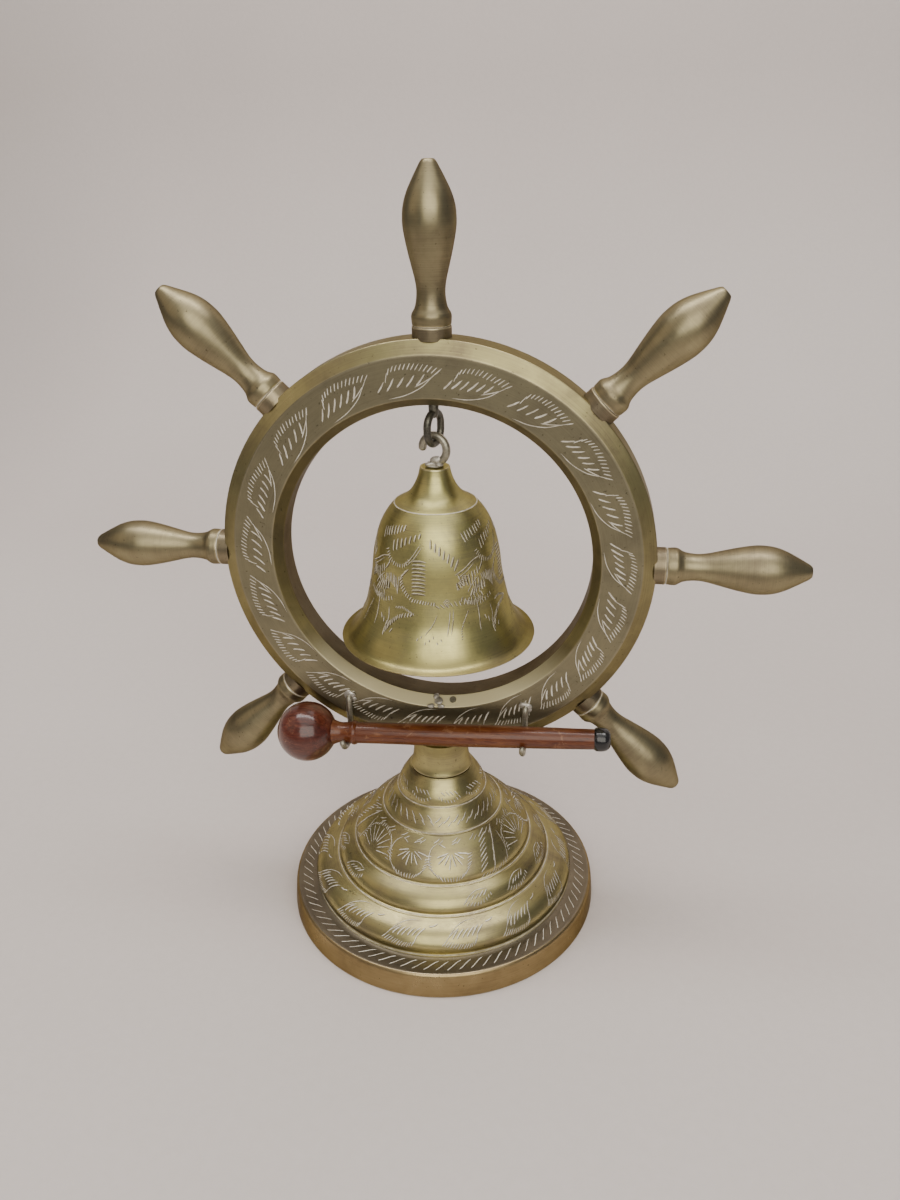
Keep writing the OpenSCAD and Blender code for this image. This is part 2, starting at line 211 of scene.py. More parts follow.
def spoke_frame(i, distance):
    """Local Z runs out along a spoke, from a distance off the wheel's middle. The pedestal is spoke five."""
    a = math.radians(90 - (i + (1 if i >= SPOKES // 2 else 0)) * 360 / SPOKES)
    out = np.array([math.cos(a), 0, math.sin(a)])
    side = (math.sin(a), 0, -math.cos(a))
    return Frame(np.array([0, 0, WHEEL_Z]) + out * distance, side, np.cross(out, side), out)


def mallet_frame(distance=0.0):
    """Local Z runs along the mallet, from a distance past the middle of its ball."""
    tilt = math.radians(MALLET_TILT)
    along = np.array([math.cos(tilt), 0, math.sin(tilt)])
    up = np.array([-math.sin(tilt), 0, math.cos(tilt)])
    ball_middle = np.array([MALLET_BALL_X, MALLET_Y, mallet_height(MALLET_BALL_X)])
    return Frame(ball_middle + along * distance, up, np.cross(along, up), along)


def mallet_height(x):
    """The height of the mallet's axis at x."""
    return MALLET_Z + x * math.tan(math.radians(MALLET_TILT))


# ---- meshes ----


ON_AXIS = 1e-6
WIRE_SIDES = 20
WIRE_DOME = 0.85  # how far a wire's end stands out, as a share of its radius
LUMP_RINGS = 14
LUMP_SIDES = 20


def make_mesh(name, verts, faces, materials):
    """A mesh from points in millimetres."""
    mesh = bpy.data.meshes.new(name)
    points = [tuple(v) for v in np.asarray(verts, float) * MM]
    mesh.from_pydata(points, [], [tuple(map(int, f)) for f in faces])
    for m in materials:
        mesh.materials.append(m)
    return mesh


def put(name, data):
    """A new object in the scene."""
    obj = bpy.data.objects.new(name, data)
    bpy.context.scene.collection.objects.link(obj)
    return obj


def make_piece(name, verts, faces, materials, body, slot, slots=None, layers=None, smooth=True, sharp=40.0):
    """A mesh piece in place and riding on a body. The slots are each face's material number, the layers are
    attributes of the points, and edges over sharp degrees stay hard."""
    mesh = make_mesh(name, verts, faces, materials)
    if slots is not None:
        mesh.polygons.foreach_set("material_index", np.asarray(slots, np.int32))
    for label, values in (layers or {}).items():
        values = np.asarray(values, np.float32)
        kind, field = ("FLOAT", "value") if values.ndim == 1 else ("FLOAT_VECTOR", "vector")
        mesh.attributes.new(label, kind, "POINT").data.foreach_set(field, values.ravel())
    mesh.validate()
    if smooth:
        mesh.shade_smooth()
        mesh.set_sharp_from_angle(angle=math.radians(sharp))
    obj = put(name, mesh)
    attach(obj, body)
    return obj


def ring_faces(rows, sides, start=0):
    """Four-sided faces between rows of points, each row a closed ring, counted from the point start."""
    return [(a + k, a + (k + 1) % sides, a + sides + (k + 1) % sides, a + sides + k)
            for a in range(start, start + (rows - 1) * sides, sides) for k in range(sides)]


def turn(name, outline, place, materials, body, slot, segments):
    """A turned piece: the outline swept round local Z."""
    pts = np.array(outline.points)
    n = len(pts)
    angles = np.arange(segments) * 2 * math.pi / segments
    rings = np.empty((n, segments, 3))
    rings[:, :, 0] = pts[:, :1] * np.cos(angles)
    rings[:, :, 1] = pts[:, :1] * np.sin(angles)
    rings[:, :, 2] = pts[:, 1:]
    local = rings.reshape(-1, 3)
    faces, slots = [], []
    for i in range(n - 1):
        for a, b, c, d in ring_faces(2, segments, i * segments):
            if pts[i, 0] < ON_AXIS:
                faces.append((i * segments, c, d))
            elif pts[i + 1, 0] < ON_AXIS:
                faces.append((a, b, (i + 1) * segments))
            else:
                faces.append((a, b, c, d))
        slots += [outline.skin[i]] * segments
    turned = np.column_stack([local[:, :2], np.repeat(distances(pts), segments)]) * MM
    keep, faces, used = drop_unused(local, faces)
    return make_piece(name, place.place(keep), faces, materials, body, slot, slots,
                      {"edge": np.repeat(outline.edge, segments)[used], "turned": turned[used]})


def drop_unused(points, faces):
    """The points that faces use, the faces renumbered, and the old numbers of those points."""
    used = sorted({i for f in faces for i in f})
    where = {old: new for new, old in enumerate(used)}
    return points[used], [tuple(where[i] for i in f) for f in faces], used


def tube(path, radius, lumps, seed):
    """A wire along a path of points, domed at its ends and uneven by the share lumps. The radius is one number
    or one for each point. Returns points and faces."""
    p = np.asarray(path, float)
    n = len(p)
    way = np.gradient(p, axis=0)
    way /= np.linalg.norm(way, axis=1)[:, None]
    side = np.cross(way[0], [0.3, 0.2, 1.0])
    side /= np.linalg.norm(side)
    swell = np.convolve(np.random.default_rng(seed).normal(0, 1, n + 8), np.ones(9) / 3.0, "valid")
    radii = np.broadcast_to(radius, n) * (1 + lumps * swell)
    dome = [(WIRE_DOME * math.cos(t), math.sin(t)) for t in (0.25, 0.7, 1.15)]
    rows = [(p[0] - way[0] * radii[0] * out, radii[0] * wide, 0) for out, wide in dome]
    rows += [(p[i], radii[i], i) for i in range(n)]
    rows += [(p[-1] + way[-1] * radii[-1] * out, radii[-1] * wide, n - 1) for out, wide in dome[::-1]]
    verts = []
    for centre, r, i in rows:
        side = side - way[i] * (side @ way[i])
        side /= np.linalg.norm(side)
        other = np.cross(way[i], side)
        for a in np.arange(WIRE_SIDES) * 2 * math.pi / WIRE_SIDES:
            verts.append(centre + (side * math.cos(a) + other * math.sin(a)) * r)
    faces = ring_faces(len(rows), WIRE_SIDES)
    faces.append(tuple(range(WIRE_SIDES))[::-1])
    faces.append(tuple(range(len(verts) - WIRE_SIDES, len(verts))))
    return np.array(verts), faces


def lump(centre, size, seed, rough, axes=((1, 0, 0), (0, 1, 0), (0, 0, 1))):
    """An uneven drop of metal: an egg of three half-widths with soft dents."""
    rng = np.random.default_rng(seed)
    waves = rng.normal(0, 1, (6, 3)) * 2.0
    phase = rng.uniform(0, 6.28, 6)
    verts = [(0, 0, 1)]
    for t in np.arange(1, LUMP_RINGS) * math.pi / LUMP_RINGS:
        for a in np.arange(LUMP_SIDES) * 2 * math.pi / LUMP_SIDES:
            verts.append((math.sin(t) * math.cos(a), math.sin(t) * math.sin(a), math.cos(t)))
    verts.append((0, 0, -1))
    unit = np.array(verts, float)
    dent = np.sin(unit @ waves.T + phase).mean(axis=1) * 2
    shape = unit * (1 + rough * dent)[:, None] * np.asarray(size, float)
    faces = [(0, 1 + k, 1 + (k + 1) % LUMP_SIDES) for k in range(LUMP_SIDES)]
    faces += [(a, d, c, b) for a, b, c, d in ring_faces(LUMP_RINGS - 1, LUMP_SIDES, 1)]
    end = len(unit) - 1
    last = end - LUMP_SIDES
    faces += [(end, last + (k + 1) % LUMP_SIDES, last + k) for k in range(LUMP_SIDES)]
    return np.asarray(centre, float) + shape @ np.array(axes, float), faces


def joined(parts):
    """Several (points, faces) as one."""
    verts, faces, base = [], [], 0
    for v, f in parts:
        verts.append(v)
        faces += [tuple(i + base for i in face) for face in f]
        base += len(v)
    return np.vstack(verts), faces


# ---- materials ----

HAZE = 0.02  # the faint dusty film on old brass
DULL_EDGE = (0.42, 0.38, 0.33, 1)  # tarnish shines less than clean metal where it is seen edge on
SHADE = (0.42, 0.38, 0.34)  # darkens the frame towards its bottom, and as painted shade the bell towards its lip


def set_stops(ramp, stops):
    """Fills a colour ramp with (place, colour) stops."""
    while len(ramp.elements) < len(stops):
        ramp.elements.new(0.5)
    for element, (at, colour) in zip(ramp.elements, stops):
        element.position = at
        element.color = (*colour, 1.0)


class Nodes:
    """Short calls for building a material's node tree."""

    def __init__(self, name):
        self.material = bpy.data.materials.new(name)
        self.material.use_nodes = True
        self.tree = self.material.node_tree
        self.shader = self.tree.nodes["Principled BSDF"]
        self.coords = self.new("ShaderNodeTexCoord").outputs["Object"]

    def new(self, kind, **settings):
        node = self.tree.nodes.new(kind)
        for key, value in settings.items():
            setattr(node, key, value)
        return node

    def feed(self, socket, value):
        if isinstance(value, bpy.types.NodeSocket):
            self.tree.links.new(value, socket)
        else:
            socket.default_value = value

    def place_on(self, axis):
        """How far a point lies along X, Y or Z, in metres."""
        node = self.new("ShaderNodeSeparateXYZ")
        self.feed(node.inputs[0], self.coords)
        return node.outputs[axis]

    def attribute(self, label, output="Fac"):
        return self.new("ShaderNodeAttribute", attribute_name=label).outputs[output]

    def scaled(self, vector, factors):
        node = self.new("ShaderNodeVectorMath", operation="MULTIPLY")
        self.feed(node.inputs[0], vector)
        node.inputs[1].default_value = factors
        return node.outputs[0]

    def noise(self, scale, detail=3.0, rough=0.55, warp=0.0, vector=None):
        """Cloudy noise in the object's own coordinates, or in a stretched vector's."""
        node = self.new("ShaderNodeTexNoise")
        self.feed(node.inputs["Vector"], vector or self.coords)
        for key, value in (("Scale", scale), ("Detail", detail), ("Roughness", rough), ("Distortion", warp)):
            node.inputs[key].default_value = value
        return node.outputs["Fac"]

    def ramp(self, value, stops):
        node = self.new("ShaderNodeValToRGB")
        self.feed(node.inputs["Fac"], value)
        set_stops(node.color_ramp, stops)
        return node.outputs["Color"]

    def spread(self, value, low, high, to_low, to_high):
        node = self.new("ShaderNodeMapRange")
        self.feed(node.inputs["Value"], value)
        for key, number in (("From Min", low), ("From Max", high), ("To Min", to_low), ("To Max", to_high)):
            node.inputs[key].default_value = number
        return node.outputs["Result"]

    def maths(self, operation, a, b=0.0):
        node = self.new("ShaderNodeMath", operation=operation)
        self.feed(node.inputs[0], a)
        self.feed(node.inputs[1], b)
        return node.outputs[0]

    def total(self, a, share_a, b, share_b):
        """Two values added up, each by its share."""
        return self.maths("ADD", self.maths("MULTIPLY", a, share_a), self.maths("MULTIPLY", b, share_b))

    def mixed(self, share, a, b, blend="MIX"):
        node = self.new("ShaderNodeMix", data_type="RGBA", blend_type=blend)
        self.feed(node.inputs[0], share)
        self.feed(node.inputs[6], a if isinstance(a, bpy.types.NodeSocket) else (*a, 1.0))
        self.feed(node.inputs[7], b if isinstance(b, bpy.types.NodeSocket) else (*b, 1.0))
        return node.outputs[2]

    def bump(self, height, strength, distance):
        node = self.new("ShaderNodeBump")
        self.feed(node.inputs["Height"], height)
        node.inputs["Strength"].default_value = strength
        node.inputs["Distance"].default_value = distance
        self.feed(self.shader.inputs["Normal"], node.outputs["Normal"])

    def done(self, **inputs):
        for key, value in inputs.items():
            self.feed(self.shader.inputs[key.replace("_", " ")], value)
        return self.material


def brass(name, dark, mid, light, edge, rough, marks=0.5, pale_band=None, dim=None):
    """Aged brass: blotches from dark to light, turning marks, scratches, dark spots and worn edges. Between
    the two heights given for the pale band it turns pale and dull, and between the heights of dim it darkens
    by a share."""
    n = Nodes(name)
    blotch = n.noise(55, 5, 0.6, 0.4)
    grain = n.noise(900, 3, 0.6)
    rings = n.noise(1.0, 4, 0.65, 0.0, n.scaled(n.attribute("turned", "Vector"), (30, 30, 2600)))
    colour = n.ramp(n.total(blotch, 0.72, rings, 0.28), [(0.30, dark), (0.50, mid), (0.72, light)])
    speck = n.spread(n.noise(850, 2, 0.5), 0.68, 0.76, 0.0, 0.7)
    colour = n.mixed(speck, colour, [c * 0.45 for c in dark])
    rub = n.maths("MULTIPLY", n.attribute("edge"), n.spread(n.noise(160, 3), 0.32, 0.6, 0.45, 1.0))
    colour = n.mixed(rub, colour, edge)
    scratch = n.noise(1.0, 2, 0.5, 0.3, n.scaled(n.coords, (260, 2200, 700)))
    n.bump(n.total(n.total(rings, marks, grain, 0.35), 1.0, scratch, 0.3), 0.16, 0.00012)
    worn = n.maths("ADD", n.spread(blotch, 0.3, 0.7, rough + 0.07, rough - 0.06),
                   n.spread(grain, 0.3, 0.7, -0.03, 0.04))
    metal = 1.0
    # darker towards the bottom between the heights of dim; on the bell's lip this is painted shade
    if dim:
        shaded = n.mixed(1.0, colour, SHADE, "MULTIPLY")
        colour = n.mixed(n.spread(n.place_on("Z"), dim[0], dim[1], 0.0, dim[2]), colour, shaded)
    # paler and duller between the two heights given for the pale band
    if pale_band:
        share = n.spread(n.place_on("Z"), pale_band[0], pale_band[1], 0.0, 1.0)
        colour = n.mixed(share, colour, edge)
        metal = n.spread(share, 0.0, 1.0, 1.0, 0.15)
    return n.done(Base_Color=colour, Metallic=metal, Roughness=worn, Specular_Tint=DULL_EDGE,
                  Sheen_Weight=HAZE)


def chalky_cut(name, low, high):
    """The bottoms of cut strokes with pale polish dried into them; given dark colours, it is the painted shade
    on a stroke's shaded side.
    """
    n = Nodes(name)
    tone = n.noise(420, 3, 0.6)
    colour = n.ramp(tone, [(0.36, low), (0.62, high)])
    metal = n.spread(n.noise(250, 2), 0.4, 0.65, 0.1, 0.5)
    n.bump(n.noise(2500, 2), 0.2, 0.00005)
    return n.done(Base_Color=colour, Metallic=metal, Roughness=n.spread(tone, 0.3, 0.7, 0.5, 0.36))


def drawn_wire(name, dark, light, rough):
    """Tarnished wire with draw lines and dull patches."""
    n = Nodes(name)
    patch = n.noise(260, 5, 0.65, 0.5)
    fine = n.noise(1600, 3, 0.6)
    colour = n.ramp(n.total(patch, 0.7, fine, 0.3), [(0.35, dark), (0.65, light)])
    n.bump(n.total(patch, 1.0, fine, 0.5), 0.35, 0.0002)
    return n.done(Base_Color=colour, Metallic=n.spread(patch, 0.35, 0.6, 0.55, 1.0),
                  Roughness=n.spread(fine, 0.3, 0.7, rough - 0.06, rough + 0.08))


def solder_metal(name):
    """Cold grey solder, dull in its dents and brighter on its lumps."""
    n = Nodes(name)
    patch = n.noise(420, 4, 0.6, 0.3)
    colour = n.ramp(patch, [(0.34, (0.24, 0.22, 0.17)), (0.5, (0.50, 0.47, 0.41)), (0.68, (0.74, 0.71, 0.65))])
    n.bump(n.noise(900, 4, 0.6), 0.45, 0.0003)
    return n.done(Base_Color=colour, Metallic=n.spread(patch, 0.4, 0.65, 0.45, 0.95),
                  Roughness=n.spread(patch, 0.35, 0.65, 0.52, 0.34))


def turned_wood(name, dark, mid, light, worn, coat):
    """Stained and lacquered wood: grain along X, rubbed pale patches and a clear gloss."""
    n = Nodes(name)
    grain = n.noise(130, 6, 0.62, 0.8, n.scaled(n.coords, (1, 9, 9)))
    pores = n.noise(120, 3, 0.5, 0.0, n.scaled(n.coords, (2, 26, 26)))
    cloud = n.noise(70, 3, 0.5)
    colour = n.ramp(n.total(grain, 0.6, cloud, 0.4), [(0.33, dark), (0.5, mid), (0.68, light)])
    colour = n.mixed(n.spread(pores, 0.6, 0.72, 0.0, 0.6), colour, [c * 0.35 for c in dark])
    bare = n.spread(n.noise(95, 5, 0.7, 1.2), 0.60, 0.65, 0.0, 0.75)
    colour = n.mixed(bare, colour, worn)
    n.bump(n.total(grain, 0.4, bare, -0.6), 0.22, 0.0002)
    rough = n.spread(grain, 0.3, 0.7, 0.30, 0.42)
    return n.done(Base_Color=colour, Roughness=rough, Specular_IOR_Level=0.3, Coat_Weight=coat,
                  Coat_Roughness=0.13)


def gloss_black(name):
    """Thick black lacquer with a slightly uneven skin."""
    n = Nodes(name)
    tone = n.noise(300, 3)
    colour = n.ramp(tone, [(0.35, (0.006, 0.006, 0.007)), (0.7, (0.022, 0.020, 0.020))])
    n.bump(n.noise(260, 2), 0.3, 0.0006)
    return n.done(Base_Color=colour, Roughness=n.spread(tone, 0.3, 0.7, 0.12, 0.2), Specular_IOR_Level=0.6)


def steel_metal(name):
    """Dull zinc-plated steel for the hidden fasteners."""
    n = Nodes(name)
    tone = n.noise(500, 4)
    colour = n.ramp(tone, [(0.3, (0.30, 0.30, 0.29)), (0.7, (0.55, 0.55, 0.53))])
    n.bump(n.noise(1500, 2), 0.2, 0.0001)
    return n.done(Base_Color=colour, Metallic=1.0, Roughness=n.spread(tone, 0.3, 0.7, 0.32, 0.45))


FRAME_DIM = (215 * MM, 125 * MM, 0.7)
# the lower part of the inner front chamfer turns pale and dull
CHAMFER_PALE_BAND = (128 * MM, 106 * MM)
# painted shade: the bell darkens over its lowest 9 mm towards the lip
LIP_PAINTED_SHADE = ((LIP_Z + 9) * MM, LIP_Z * MM, 0.8)

FRAME_BRASS = brass("frame_brass", (0.23, 0.19, 0.115), (0.37, 0.325, 0.16), (0.48, 0.43, 0.21),
                    (0.66, 0.58, 0.37), 0.34, dim=FRAME_DIM)
FACE_BRASS = brass("face_brass", (0.17, 0.15, 0.10), (0.245, 0.22, 0.14), (0.305, 0.275, 0.17),
                   (0.60, 0.52, 0.35), 0.42, marks=0.3)
PALE_BAND_BRASS = brass("rubbed_brass", (0.16, 0.14, 0.09), (0.245, 0.215, 0.14), (0.32, 0.285, 0.18),
                     (0.80, 0.72, 0.44), 0.42, pale_band=CHAMFER_PALE_BAND)
HANDLE_BRASS = brass("handle_brass", (0.165, 0.135, 0.09), (0.285, 0.245, 0.145), (0.38, 0.335, 0.195),
                     (0.60, 0.52, 0.32), 0.39)
COLLAR_BRASS = brass("collar_brass", (0.15, 0.12, 0.08), (0.235, 0.195, 0.125), (0.32, 0.27, 0.17),
                     (0.55, 0.48, 0.31), 0.38)
BASE_BRASS = brass("base_brass", (0.23, 0.19, 0.13), (0.40, 0.35, 0.165), (0.54, 0.48, 0.205),
                   (0.70, 0.62, 0.40), 0.34)
PLINTH_BRASS = brass("plinth_brass", (0.20, 0.14, 0.07), (0.31, 0.23, 0.11), (0.40, 0.305, 0.155),
                     (0.60, 0.49, 0.30), 0.33)
LEDGE_BRASS = brass("ledge_brass", (0.11, 0.092, 0.068), (0.16, 0.138, 0.098), (0.21, 0.182, 0.13),
                    (0.50, 0.43, 0.30), 0.36, marks=0.3)
BELL_BRASS = brass("bell_brass", (0.27, 0.24, 0.15), (0.50, 0.455, 0.185), (0.64, 0.585, 0.235),
                   (0.74, 0.67, 0.36), 0.34, marks=0.3, dim=LIP_PAINTED_SHADE)
INSIDE_BRASS = brass("inside_brass", (0.13, 0.10, 0.06), (0.22, 0.18, 0.10), (0.31, 0.26, 0.15),
                     (0.4, 0.35, 0.2), 0.5)
CUT = chalky_cut("cut_strokes", (0.58, 0.53, 0.42), (0.82, 0.78, 0.67))
BRIGHT_CUT = chalky_cut("bright_strokes", (0.48, 0.44, 0.31), (0.74, 0.69, 0.53))
# painted shade: the dark colour of each stroke's shaded side
PAINTED_SHADE_CUT = chalky_cut("shaded_strokes", (0.07, 0.055, 0.03), (0.16, 0.13, 0.075))
WIRE = drawn_wire("wire", (0.20, 0.185, 0.14), (0.52, 0.49, 0.39), 0.42)
DARK_WIRE = drawn_wire("dark_wire", (0.045, 0.043, 0.035), (0.20, 0.19, 0.15), 0.38)
SOLDER = solder_metal("solder")
STEEL = steel_metal("steel")
BALL_WOOD = turned_wood("ball_wood", (0.030, 0.006, 0.003), (0.085, 0.017, 0.009), (0.17, 0.048, 0.022),
                        (0.34, 0.17, 0.09), 0.85)
SHAFT_WOOD = turned_wood("shaft_wood", (0.062, 0.012, 0.004), (0.128, 0.034, 0.010), (0.21, 0.070, 0.018),
                         (0.25, 0.11, 0.05), 0.45)
BLACK = gloss_black("black_lacquer")

# ---- engraving ----


class Surface:
    """A turned surface to engrave. A place on it is a distance v along its outline and an angle round it."""

    def __init__(self, points, place):
        self.points = np.array(points, float)
        self.length = distances(self.points)
        self.way = np.gradient(self.points, self.length, axis=0)
        self.way /= np.linalg.norm(self.way, axis=1)[:, None]
        self.place = place

    def read(self, v, values):
        """The values of the outline's points, read at the distances v."""
        return np.interp(v, self.length, values)

    def at(self, v, angle):
        """Points and outward normals for arrays of distance and angle."""
        r, h = (self.read(v, self.points[:, i]) for i in (0, 1))
        wr, wh = (self.read(v, self.way[:, i]) for i in (0, 1))
        c, s = np.cos(angle), np.sin(angle)
        point = np.column_stack([r * c, r * s, h])
        normal = np.column_stack([wh * c, wh * s, -wr])
        normal /= np.linalg.norm(normal, axis=1)[:, None]
        return self.place.place(point), normal @ self.place.axes


class Engraver:
    """Collects cut strokes as slender closed slivers, a V on top and a keel sunk in the metal. The V's upper
    left side, which faces the light, takes the bright material, pale polish, and a share of the width; its
    other side takes the shaded one, a painted shade."""

    PROUD = 0.035
    KEEL = 0.12
    # the way that faces the light: a stroke's side turned this way keeps the pale polish, and its other side
    # gets the painted shade
    LIT_WAY = np.array([-0.5, 0.0, 0.85])

    def __init__(self, seed, bright, shaded, share):
        self.verts = []
        self.faces = []
        self.slots = []
        self.rng = random.Random(seed)
        self.materials = [bright, shaded]
        self.share = share

    def jitter(self, size):
        return self.rng.uniform(-size, size)

    def stroke(self, surface, v, angle, width):
        """A stroke through points on a surface, widest past its middle and pointed at its ends."""
        v, angle = np.asarray(v, float), np.asarray(angle, float)
        point, normal = surface.at(v, angle)
        side = self.across(point, normal)
        if side.mean(axis=0) @ self.LIT_WAY < 0:
            point, normal = surface.at(v[::-1], angle[::-1])
            side = self.across(point, normal)
        t = np.linspace(0, 1, len(point))
        half = (width / 2 * np.clip(1.7 * np.sin(math.pi * t ** 0.85), 0.15, 1))[:, None]
        base = sum(map(len, self.verts))
        rows = np.stack([
            point + side * half + normal * self.PROUD,
            point + side * half * (1 - 2 * self.share),
            point - side * half + normal * self.PROUD,
            point - normal * self.KEEL,
        ], axis=1)
        self.verts.append(rows.reshape(-1, 3))
        n = len(point)
        for i in range(n - 1):
            a, b = base + 4 * i, base + 4 * (i + 1)
            for k in range(4):
                m = (k + 1) % 4
                self.faces.append((a + k, a + m, b + m, b + k))
                # the first face keeps the pale polish; the shaded face, keel and ends take the painted shade
                self.slots.append(0 if k == 0 else 1)
        self.faces.append((base, base + 3, base + 2, base + 1))
        end = base + 4 * (n - 1)
        self.faces.append((end, end + 1, end + 2, end + 3))
        self.slots += [1, 1]

    @staticmethod
    def across(point, normal):
        side = np.cross(normal, np.gradient(point, axis=0))
        return side / np.maximum(np.linalg.norm(side, axis=1), 1e-9)[:, None]

    def finish(self, name, body, slot):
        return make_piece(name, np.vstack(self.verts), self.faces, self.materials, body, slot, self.slots,
                          smooth=False)


class Motif:
    """A small drawing laid on a surface: its own millimetres, s along the turning and t along the outline."""

    def __init__(self, engraver, surface, v, angle, turn=0.0, flip=1.0, size=1.0):
        self.cut = engraver
        self.surface = surface
        self.v = v
        self.angle = angle
        self.turn = turn
        self.flip = flip
        self.size = size

    def line(self, points, width=0.42, steps=5):
        """A smooth stroke through (s, t) points."""
        path = np.array(spline(points, steps)) * self.size
        s, t = path[:, 0], path[:, 1] * self.flip
        c, d = math.cos(self.turn), math.sin(self.turn)
        s, t = s * c - t * d, s * d + t * c
        v = self.v + t
        radius = np.maximum(self.surface.read(v, self.surface.points[:, 0]), 1.0)
        self.cut.stroke(self.surface, v, self.angle + s / radius, width)

    def dash(self, at, lean, length, width=0.42, bend=0.0):
        """A short stroke centred at (s, t); lean is its angle from t, in radians."""
        j = self.cut.jitter
        lean += j(0.06)
        length *= 1 + j(0.12)
        way = np.array([math.sin(lean), math.cos(lean)])
        side = np.array([way[1], -way[0]])
        mid = np.array(at, float) + (j(0.1), j(0.1))
        self.line([mid - way * length / 2, mid + side * bend * length, mid + way * length / 2],
                  width * (1 + j(0.15)), 3)

    def row(self, count, start, step, lean, length, width):
        """Evenly stepped dashes; lean and length are each the first one's value and the change from one to the
        next."""
        for k in range(count):
            at = (start[0] + step[0] * k, start[1] + step[1] * k)
            self.dash(at, lean[0] + lean[1] * k, length[0] + length[1] * k, width)

    def fringe(self, points, count, first, last, lean_first, lean_last, width):
        """A row of short strokes along a curve, their length and lean running from the first to the last."""
        path = np.array(spline(points, 12))
        gone = distances(path)
        for k in range(count):
            share = k / (count - 1)
            at = [np.interp(share * gone[-1], gone, path[:, i]) for i in (0, 1)]
            self.dash(at, lean_first + (lean_last - lean_first) * share, first + (last - first) * share, width)


def feather(motif, length, width, strokes=5, hairs=15):
    """The engraving's leaf, its tip at the far end: a fringed outer side, a thin curve along the inner side
    and slanted strokes between."""
    half, high = length / 2, width / 2
    motif.line([(-0.69 * half, -1.19 * high), (-0.17 * half, -1.08 * high), (0.34 * half, -0.6 * high),
                (0.7 * half, 0.1 * high), (1.0 * half, 0.74 * high)], 0.36, 6)
    edge = [(-0.72 * half, 0.12 * high), (-0.64 * half, 0.58 * high), (-0.40 * half, 0.80 * high),
            (-0.05 * half, 0.85 * high), (0.35 * half, 0.77 * high), (0.7 * half, 0.66 * high),
            (0.93 * half, 0.56 * high)]
    motif.fringe(edge, hairs, 0.4 * high, 0.62 * high, 0.2, 0.8, 0.42)
    for k in range(strokes):
        share = k / (strokes - 1)
        at = ((-0.9 + 1.26 * share) * half, (-0.30 + 0.24 * share) * high)
        motif.dash(at, 0.64, 0.92 * high, 0.7, 0.04)
    motif.line([(0.16 * half, -0.55 * high), (0.46 * half, -0.22 * high), (0.76 * half, 0.2 * high)], 0.42, 5)


# ---- wheel ----

chamfer = [
    (RIM_INNER_R, -RIM_HALF + CHAMFER_IN[1]),
    (RIM_INNER_R + CHAMFER_IN[0], -RIM_HALF),
    (RIM_R - CHAMFER_OUT[0], -RIM_HALF),
    (RIM_R, -RIM_HALF + CHAMFER_OUT[1]),
    (RIM_R, RIM_HALF - CHAMFER_OUT[1]),
    (RIM_R - CHAMFER_OUT[0], RIM_HALF),
    (RIM_INNER_R + CHAMFER_BACK[0], RIM_HALF),
    (RIM_INNER_R, RIM_HALF - CHAMFER_BACK[1]),
]
rim_sides = [2, 1, 0, 0, 0, 1, 0, 3]  # each side's material number, from the inner chamfer in front; the inner bore's dark ledge brass (3) is painted shade
rim = turn("rim", Outline().loop(chamfer, 0.32, 0.16, rim_sides), WHEEL,
           [FRAME_BRASS, FACE_BRASS, PALE_BAND_BRASS, LEDGE_BRASS], "stand", "antique_brass", 360)
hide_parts("wheel_rim")

LEAVES = 20
LEAF_R = 70.0
LEAF_WIDE = 10.4
LEAF_SHARE = 0.93  # of the space from leaf to leaf
FIRST_LEAF = -5.5
LEAF_SHIFT = -2.7
LEAF_DRIFT = 7.2
DRIFT_FROM = 25


def leaf_angle(k):
    """Degrees clockwise from the top. The engraver's spacing drifts: wider above, tighter below."""
    even = 360 / LEAVES * k + FIRST_LEAF
    return even + LEAF_SHIFT + LEAF_DRIFT * math.sin(math.radians(even + DRIFT_FROM))


FACE_R = RIM_INNER_R + CHAMFER_IN[0]
rim_face = Surface([(FACE_R, -RIM_HALF), (RIM_R - CHAMFER_OUT[0], -RIM_HALF)], WHEEL)
rim_cuts = Engraver(SEED, CUT, PAINTED_SHADE_CUT, 0.8)
for k in range(LEAVES):
    pitch = leaf_angle(k + 0.5) - leaf_angle(k - 0.5)
    middle = LEAF_R - FACE_R + rim_cuts.jitter(0.3)
    leaf = Motif(rim_cuts, rim_face, middle, math.radians(leaf_angle(k)), rim_cuts.jitter(0.05))
    feather(leaf, math.radians(pitch * LEAF_SHARE) * LEAF_R, LEAF_WIDE, 5 + k % 2)
rim_cuts.finish("rim_engraving", "stand", "antique_brass")

# ---- handles and collars ----

handle_side = spline([(r * HANDLE_R, h * HANDLE_LEN) for r, h in HANDLE_SHAPE], 6)
HANDLE_FOOT_R = handle_side[0][0]
for i in range(SPOKES - 1):
    foot = Outline()
    foot.add([(0, 0), (HANDLE_FOOT_R - 0.9, 0)])
    foot.add([(HANDLE_FOOT_R - 0.45, 0)], 1.0, 1)
    foot.add([(HANDLE_FOOT_R + 0.02, 0.42)], 1.0)
    foot.add([p for p in handle_side if p[1] > 0.7])
    foot.add([(handle_side[-1][0] * 0.6, HANDLE_LEN + 0.12), (0, HANDLE_LEN + 0.15)])
    handle = turn(f"handle_{i + 1}_turned", foot, spoke_frame(i, RIM_R + COLLAR_LEN), [HANDLE_BRASS, CUT],
                  "stand", "antique_brass", 96)
    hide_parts(f"handle_{i + 1}")

    ring = Outline()
    ring.add([(0, -1.0), (COLLAR_R, -1.0)])
    ring.corner((COLLAR_R, -1.0), (COLLAR_R, COLLAR_LEN), (0, COLLAR_LEN), 0.3)
    ring.add([(0, COLLAR_LEN)])
    collar = turn(f"collar_{i + 1}_turned", ring, spoke_frame(i, RIM_R), [COLLAR_BRASS],
                  "stand", "antique_brass", 96)
    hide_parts(f"collar_{i + 1}")

# ---- pedestal ----

